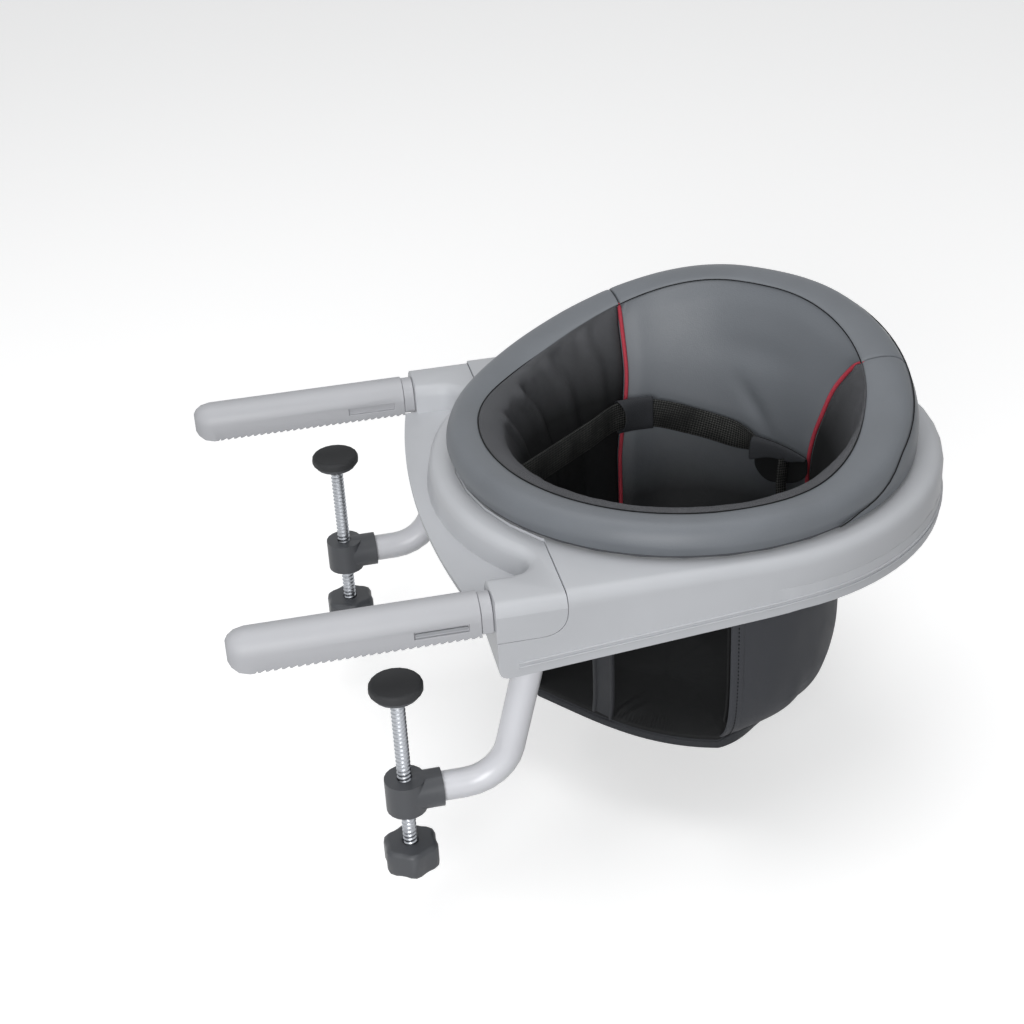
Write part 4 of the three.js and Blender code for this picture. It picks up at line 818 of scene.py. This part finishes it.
def bag_radius(z, angle):
    angle = wrapped(angle)
    if z > BAG_NECK:
        share = min(max((z - BAG_NECK) / BAG_FLARE, 0), 1) ** 1.2
        return lerp(BAG_NECK_RADIUS, BAG_TOP_RADIUS, share)
    bottom = lerp(BAG_BACK_RADIUS, BAG_HEM_RADIUS, smoothstep(abs(angle), 20, BAG_HEM))
    bottom += BAG_LEAN * sin(radians(angle)) + BAG_FAR_CORNER * smoothstep(angle, 90, BAG_HEM)
    share = min((BAG_NECK - z) / (BAG_NECK - BAG_BOTTOM), 1)
    return lerp(BAG_NECK_RADIUS, bottom, share ** BAG_FULLNESS)


def face_radius(z, angle):
    """The padded inside of the seat: its back leans outward, its sides and front roll over the rim."""
    inset = LINING_INSIDE_BAG + PAD
    if z < LEAN_FROM:
        return bag_radius(z, angle) - inset
    seam = seam_radius(angle) + LINING_OVER_SEAM
    top = seam_height(angle)
    low = BAG_NECK_RADIUS - inset
    leaning = lerp(low, seam, min((z - LEAN_FROM) / (top - LEAN_FROM), 1) ** 2)
    upright = lerp(low, LINING_TOP_RADIUS - PAD, smoothstep(z, LEAN_FROM, 70))
    rolled = lerp(seam, upright, rounded((top - z) / PAD_ROLL))
    return lerp(leaning, rolled, smoothstep(abs(wrapped(angle)), 55, 95))


def piping_angle(side, z):
    """The left piping is nearly upright, the right one curls away from the rim and leans."""
    if side > 0:
        return LEFT_SEAM + 5 * smoothstep(-z, -40, 60)
    share = min(max((z + 30) / (seam_height(RIGHT_SEAM) + 30), 0), 1)
    curl = 2 * smoothstep(seam_height(RIGHT_SEAM) - z, 0, 10) * smoothstep(z, 20, 60)
    return RIGHT_SEAM + 18.5 * (1 - share ** 1.8) + curl


def bag_wrinkle(z, angle):
    """Faint upright wrinkles, stronger towards the sewn bottom."""
    low = smoothstep(-z, 60, 200)
    return (0.5 + 1.2 * low) * noise.noise(Vector((angle * 0.16, z * 0.018, 7)))


def bag():
    angles = spread(-BAG_HEM, BAG_HEM, 3)
    heights = spread(BAG_BOTTOM, BAG_TOP, 7)

    def place(i, j):
        z, angle = heights[i], angles[j]
        return seat_place(bag_radius(z, angle) + bag_wrinkle(z, angle), angle, z)

    bm = skin(len(heights), len(angles), place, closed=False)
    obj = piece(bm, "shown_bag", "seat", "black_cloth")
    subdivided(obj, 1)
    thickened(obj, BAG_CLOTH)
    hems = [hem(side) for side in (1, -1)]
    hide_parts("bag_cloth")


def hem(side):
    """The doubled edge of the bag at a leg opening, with its row of stitches."""
    heights = spread(BAG_BOTTOM, BAG_TOP - 10, 8)
    across = [0, 0.5, 3, 6, 9, HEM_WIDTH - 0.6, HEM_WIDTH]
    lift = [-1.2, 0.9, 1.2, 1.0, 1.1, 0.8, 0.1]

    def place(i, j):
        z = heights[j]
        angle = side * (BAG_HEM - degrees_along(across[i], BAG_NECK_RADIUS) + 0.3)
        return seat_place(bag_radius(z, angle) + bag_wrinkle(z, angle) + lift[i], angle, z)

    bm = skin(len(across), len(heights), place, closed=False)
    obj = piece(bm, f"bag_hem_{side}", "seat", "black_cloth")
    subdivided(obj, 1)
    sewn_at = side * (BAG_HEM - degrees_along(HEM_STITCHES, BAG_NECK_RADIUS))
    row = [
        seat_place(bag_radius(z, sewn_at) + bag_wrinkle(z, sewn_at) + 1.1, sewn_at, z)
        for z in spread(BAG_BOTTOM, BAG_TOP - 15, 4)
    ]
    stitches(f"hem_stitches_{side}", row, "seat")
    return obj


bag()


def fold(angle, z):
    """Soft upright folds and gathers of the side lining, in mm."""
    angle = wrapped(angle)
    below = seam_height(angle) - z
    starting = smoothstep(below, 0, 12)
    ending = 1 - smoothstep(below, 60, 130)
    folds = 0
    for at, lean, depth in LINING_FOLDS:
        middle = at - lean * smoothstep(below, 0, 45)
        folds += depth * bump(angle, middle, 1.8) * starting * ending
        folds -= 0.5 * depth * bump(angle, middle - 4, 3) * starting
    soft = 1.5 * noise.noise(Vector((angle * 0.07, z * 0.01, 1)))
    gathers = 1.6 * noise.noise(Vector((angle * 0.5, z * 0.01, 5))) * bump(below, 12, 14)
    return folds + soft + gathers


def lining():
    parts = ((0, 40), (40, 90), (90, 130))  # columns of the left side, the front and the right side
    upper, lower = 24, 24  # rows above and below the lower edge of the front

    def angle_at(j, z):
        sewn = degrees_along(SEWN_TO_PIPING, BELT_RADIUS)
        left = piping_angle(1, z) + sewn
        right = 360 + piping_angle(-1, z) - sewn
        stops = ((left, BAG_HEM), (BAG_HEM, 360 - BAG_HEM), (360 - BAG_HEM, right))
        for (first, last), (start, end) in zip(parts, stops):
            if j <= last:
                return lerp(start, end, (j - first) / (last - first))

    def place(i, j):
        top = RIM_BACK_TOP
        for _ in range(6):  # the seam's height depends on the column's angle, and that on the height
            top = seam_height(angle_at(j, top))
        if i <= upper:
            z = lerp(top, LINING_FRONT_BOTTOM, (i / upper) ** 1.8)
        else:
            z = lerp(LINING_FRONT_BOTTOM, LINING_BOTTOM, (i - upper) / lower)
        angle = angle_at(j, z)
        edges = [min(j, parts[2][1] - j) * 4]  # mm to each edge, at 4 or 5 mm a column
        in_front = parts[0][1] <= j <= parts[1][1]
        if i >= upper:
            edges.append(z - LINING_BOTTOM)
            edges.append(0 if in_front else min(abs(j - parts[0][1]), abs(j - parts[1][1])) * 5)
        elif in_front:
            edges.append(z - LINING_FRONT_BOTTOM)
        full = rounded(min(edges) / PAD_ROLL)
        flattened = (PAD - PAD_EDGE) * (1 - full) * smoothstep(top - z, 0, 20)
        gathered = fold(angle, z) * full * smoothstep(top - z, 0, 6)
        return seat_place(face_radius(z, angle) + flattened - gathered, angle, z)

    bm = skin(upper + lower + 1, parts[2][1] + 1, place, closed=False)
    row = bm.verts.layers.int["row"]
    column = bm.verts.layers.int["column"]
    opening = [
        face for face in bm.faces
        if all(vert[row] >= upper and parts[0][1] <= vert[column] <= parts[1][1] for vert in face.verts)
    ]
    bmesh.ops.delete(bm, geom=opening, context="FACES")
    obj = piece(bm, "shown_lining", "seat", "lining")
    subdivided(obj, 1)
    thickened(obj, PAD_CLOTH)
    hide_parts("side_lining")


lining()


def back_panel():
    columns, rows = 36, 44

    def place(i, j):
        share = j / columns
        top = seam_height(lerp(LEFT_SEAM, RIGHT_SEAM, share))
        z = lerp(top, LINING_BOTTOM, (i / rows) ** 1.3)
        below = smoothstep(top - z, 0, 20)
        sewn = SEWN_TO_PIPING
        if j in (0, columns):
            sewn = lerp(SEWN_TO_PIPING, -TUCKED_UNDER_PIPING, below)
        turn = degrees_along(sewn, BELT_RADIUS)
        angle = lerp(piping_angle(1, z) - turn, piping_angle(-1, z) + turn, share)
        edge = min(z - LINING_BOTTOM, min(j, columns - j) * 5.5)  # a column is about 5.5 mm wide
        full = rounded(edge / PAD_ROLL)
        crown = PANEL_CROWN * (1 - (2 * share - 1) ** 2)
        crease = 4 * bump(angle, z / 3 - 5, 3.4) * bump(z, 6, 20)
        hollow = 2.5 * bump(angle, -2, 14) * bump(z, 55, 14)
        soft = 1.2 * noise.noise(Vector((angle * 0.05, z * 0.012, 11)))
        flattened = (PAD - PAD_EDGE) * (1 - full) * below
        padding = (crown - crease - hollow + soft) * full * below
        return seat_place(face_radius(z, angle) + flattened - padding, angle, z)

    bm = skin(rows + 1, columns + 1, place, closed=False)
    obj = piece(bm, "shown_back_panel", "seat", "panel_vinyl")
    subdivided(obj, 1)
    thickened(obj, PAD_CLOTH)
    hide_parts("back_panel")


back_panel()


def piping(side, node):
    top = seam_height(LEFT_SEAM if side > 0 else RIGHT_SEAM)
    path = []
    for z in spread(LINING_BOTTOM, top, 4):
        angle = piping_angle(side, z)
        path.append(seat_place(face_radius(z, angle) + PIPING_RADIUS, angle, z))
    tube = swept(path, circle(PIPING_RADIUS, 10), upright=Vector((0, 1, 0.2)))
    obj = piece(capped(tube), "shown_" + node, "seat", "piping_cloth")
    subdivided(obj, 1)
    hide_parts(node)


piping(1, "piping_left")
piping(-1, "piping_right")


# Seat pan and crotch strap


def pan_outline():
    """The pan seen from above: round under the bag, a shallow curve across the front."""
    around = []
    for angle in spread(-BAG_HEM, BAG_HEM, 6):
        radius = bag_radius(BAG_BOTTOM, angle) + 1
        around.append(Vector((-radius * sin(radians(angle)), radius * cos(radians(angle)), 0)))
    near, far = around[0], around[-1]
    front = []
    for share in spread(-PAN_FRONT_REACH, PAN_FRONT_REACH, 0.02):
        ends = far.lerp(near, (share + 1) / 2)
        front.append(Vector((ends.x, -lerp(PAN_FRONT, -ends.y, share ** 2), 0)))
    return around, front


def pan():
    around, front = pan_outline()
    outline = around + front
    band_top = PAN_BOTTOM + PAN_BAND
    under_rings = [  # height and distance in from the outline
        (PAN_BOTTOM + 1, 75),
        (PAN_BOTTOM, 40),
        (PAN_BOTTOM, 12),
        (PAN_BOTTOM, 2),
        (PAN_BOTTOM + 0.6, 0.2),
        (PAN_BOTTOM + 2, 0),
    ]
    band_rings = [
        (band_top - 1.2, 0),
        (band_top - 0.3, 0.4),
        (band_top, 2.2),
        (band_top + 0.8, 2.4),
    ]
    top_rings = [
        (lerp(band_top + 1, PAN_TOP + 6, rounded(inset / PAN_SWELL)), inset)
        for inset in (1.6, 3, 6, 10, 15, 21, 28, 36, 48, 75)
    ]
    rings = under_rings + band_rings + top_rings
    band_edge = len(under_rings)
    top_edge = band_edge + len(band_rings)

    def pucker(share, inset):
        """Gathers along the front seam, and two folds that run inward from it."""
        gathered = smoothstep(share, -0.2, 0) * (1 - smoothstep(share, 0.45, 0.65))
        small = 1.3 * cos(share * 50 * pi) * bump(inset, 6, 7) * gathered
        folds = 0
        for start, slant in ((0, 0.008), (-0.06, 0.003)):
            folds += 3 * bump(share - slant * inset, start, 0.035)
        return small + folds * bump(inset, 14, 12)

    def place(i, j):
        z, inset = rings[j]
        point = outline[i]
        if i < len(around):
            from_hem = BAG_HEM - abs(lerp(-BAG_HEM, BAG_HEM, i / (len(around) - 1)))
            if j >= band_edge:
                lapped = (BAG_BOTTOM + PAN_LAP - band_top) * smoothstep(from_hem, 0, 4)
                z += lapped * (1 - rounded(inset / PAN_SWELL))
            low = min(max((PAN_TOP - z) / (PAN_TOP - PAN_BOTTOM), 0), 1)
            inset += PAN_TAPER * low * smoothstep(from_hem, 0, 35)
        elif j >= top_edge:
            along = (i - len(around)) / (len(front) - 1)
            z += pucker(lerp(-PAN_FRONT_REACH, PAN_FRONT_REACH, along), inset)
        inward = point * (1 - inset / point.length)
        return seat_xy(inward.x, inward.y, z)

    bm = capped(skin(len(outline), len(rings), place))
    ring = bm.verts.layers.int["column"]
    for face in bm.faces:
        on_top = any(vert[ring] >= top_edge for vert in face.verts)
        face.material_index = 0 if on_top else 1
    obj = piece(bm, "shown_seat_pan", "seat", "pan_cloth")
    obj.data.materials.append(FINISHES["trim_cloth"])
    subdivided(obj, 1)
    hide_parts("seat_pan")


pan()


def crotch_strap():
    high = face_radius(LINING_FRONT_BOTTOM, 180) + PAD / 2
    points = [
        seat_xy(0, -high, LINING_FRONT_BOTTOM + 12),
        seat_xy(2, -high + 1, -50),
        seat_xy(-3, -high + 12, -115),
        seat_xy(-16, -PAN_FRONT - 8, -180),
        seat_xy(-STRAP_LEAN, -PAN_FRONT + 2, PAN_TOP),
    ]
    path = smooth_path(points, 50)
    across = seat_xy(1, 0, 0) - seat_xy(0, 0, 0)
    section = STRAP_EDGE + [(-x, y) for x, y in reversed(STRAP_EDGE)]
    bm = capped(swept(path, section, across))
    obj = piece(bm, "shown_crotch_strap", "seat", "trim_cloth", sharp=60)
    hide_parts("crotch_strap")


crotch_strap()


# Waist belt


def seat_angle(point):
    seen = point / MM - SEAT_AXIS
    return wrapped(degrees(atan2(seen.y, seen.x)) - SEAT_BACK)


def belt():
    """Webbing drawn straight from the left side to its first keeper, then round the back."""
    around = [seat_place(BELT_RADIUS, angle, z) for angle, z in BELT_POINTS]
    angle, z = BELT_START
    start = seat_place(face_radius(z, angle), angle, z)
    drawn = [start, start.lerp(around[0], 0.35), start.lerp(around[0], 0.7)]
    path = smooth_path(drawn + around, 200)

    def twist(point):
        return BELT_TWIST * smoothstep(-seat_angle(point), -6, 14)

    bm = capped(swept(path, flat_section(WEBBING_WIDTH, WEBBING_THICKNESS), twist=twist))
    obj = piece(bm, "shown_belt", "seat", "webbing", sharp=50)
    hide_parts("waist_belt")


belt()


def left_keeper():
    """A cloth sleeve on the belt, with an open slanted mouth towards the left."""
    section = flat_section(KEEPER_WIDTH, KEEPER_THICKNESS, KEEPER_ROLL)
    steps = 12

    def place(i, j):
        x, y = section[i]
        share = j / steps
        indent = 4 * (1 - (2 * x / KEEPER_WIDTH) ** 2) if y > 0 else 0
        angle = lerp(KEEPER_FROM - indent, KEEPER_TO, share)
        open_mouth = 1 + 1.2 * (1 - share) ** 2
        return seat_place(BELT_RADIUS - y * open_mouth, angle, lerp(-3.5, -4.5, share) + x)

    bm = skin(len(section), steps + 1, place)
    obj = piece(bm, "shown_belt_keeper_left", "seat", "trim_cloth")
    subdivided(obj, 1)
    thickened(obj, KEEPER_CLOTH)
    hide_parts("belt_keeper_left")


left_keeper()


def right_keeper():
    """A wide cloth sleeve, cut away in front so that its mouth shows, and the belt's tail in it."""
    rows = 8

    def layer(name, edge, out, finish):
        def place(i, j):
            angle, *lower = RIGHT_KEEPER[j]
            share = i / rows
            along = j / (len(RIGHT_KEEPER) - 1)
            inside = BELT_RADIUS - lerp(8, -4, along)
            bulge = out * rounded(share) * (1 - 0.7 * along)
            upper = lerp(-14.5, -17, along)
            return seat_place(inside - bulge, angle, lerp(upper, lower[edge], share))

        bm = skin(rows + 1, len(RIGHT_KEEPER), place, closed=False)
        obj = piece(bm, name, "seat", finish)
        subdivided(obj, 2)
        thickened(obj, KEEPER_CLOTH)
        return obj

    front = layer("shown_belt_keeper_right", 0, 6, "trim_cloth")
    # Its back layer is near-black cloth, painted shade for the inside of the keeper's mouth.
    layer("keeper_right_back", 1, -4, "thread_and_painted_shade")
    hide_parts("belt_keeper_right")
    points = [seat_place(*point) for point in TAIL_POINTS]
    section = flat_section(TAIL_WIDTH, WEBBING_THICKNESS)
    tail = swept(smooth_path(points, 24), section, upright=points[0] - SEAT_AXIS * MM)
    piece(capped(tail), "belt_tail", "seat", "webbing", sharp=50)


right_keeper()


# Stage: a plain pale floor, soft light and the photograph's camera


def directly_seen(tree):
    """1 where the camera sees a thing, also mirrored or through glass, and 0 for the light it gives."""
    rays = tree.nodes.new("ShaderNodeLightPath").outputs
    total = rays["Is Camera Ray"]
    for kind in ("Is Glossy Ray", "Is Transmission Ray"):
        either = tree.nodes.new("ShaderNodeMath")
        either.operation = "MAXIMUM"
        tree.links.new(total, either.inputs[0])
        tree.links.new(rays[kind], either.inputs[1])
        total = either.outputs[0]
    return total


def pale_floor():
    finish = Finish("Pale floor", 0.9)
    seen = directly_seen(finish.tree)
    finish.colours(seen, srgb(*FLOOR_LIGHT), srgb(*FLOOR_SEEN), 0.0, 1.0)
    finish.shader.inputs["Emission Color"].default_value = (1, 1, 1, 1)
    glow = finish.maths("MULTIPLY", seen, FLOOR_GLOW)
    finish.tree.links.new(glow, finish.shader.inputs["Emission Strength"])
    return finish.material


def lay_floor():
    bm = bmesh.new()
    level = Matrix.Translation((0, 0, FLOOR_HEIGHT))
    bmesh.ops.create_grid(bm, x_segments=1, y_segments=1, size=FLOOR_HALF_WIDTH, matrix=level)
    mesh = bpy.data.meshes.new("Floor")
    bm.to_mesh(mesh)
    bm.free()
    mesh.materials.append(pale_floor())
    floor = bpy.data.objects.new("Floor", mesh)
    bpy.context.scene.collection.objects.link(floor)


def light_up():
    """A soft world all round, and the lights, which face the seat."""
    world = bpy.data.worlds.new("Studio")
    world.use_nodes = True
    tree = world.node_tree
    background = tree.nodes["Background"]
    background.inputs["Color"].default_value = WORLD_COLOUR
    strength = tree.nodes.new("ShaderNodeMapRange")
    strength.inputs["To Min"].default_value = WORLD_LIGHT
    strength.inputs["To Max"].default_value = WORLD_SEEN
    tree.links.new(directly_seen(tree), strength.inputs["Value"])
    tree.links.new(strength.outputs["Result"], background.inputs["Strength"])
    bpy.context.scene.world = world
    for name, place, size, power in LIGHTS:
        data = bpy.data.lights.new(name, "AREA")
        data.size = size
        data.energy = power
        light = bpy.data.objects.new(name, data)
        light.location = place
        light.rotation_euler = (SEAT_AXIS * MM - Vector(place)).to_track_quat("-Z", "Y").to_euler()
        bpy.context.scene.collection.objects.link(light)


def set_camera():
    """The photograph's camera."""
    data = bpy.data.cameras.new("Camera")
    data.lens = CAMERA_LENS
    data.sensor_width = CAMERA_SENSOR
    camera = bpy.data.objects.new("Camera", data)
    turn = Matrix(CAMERA_AXES).transposed().to_4x4()
    camera.matrix_world = Matrix.Translation(CAMERA_PLACE) @ turn
    bpy.context.scene.collection.objects.link(camera)
    bpy.context.scene.camera = camera
    bpy.context.scene.view_settings.view_transform = "Standard"


lay_floor()
light_up()
set_camera()
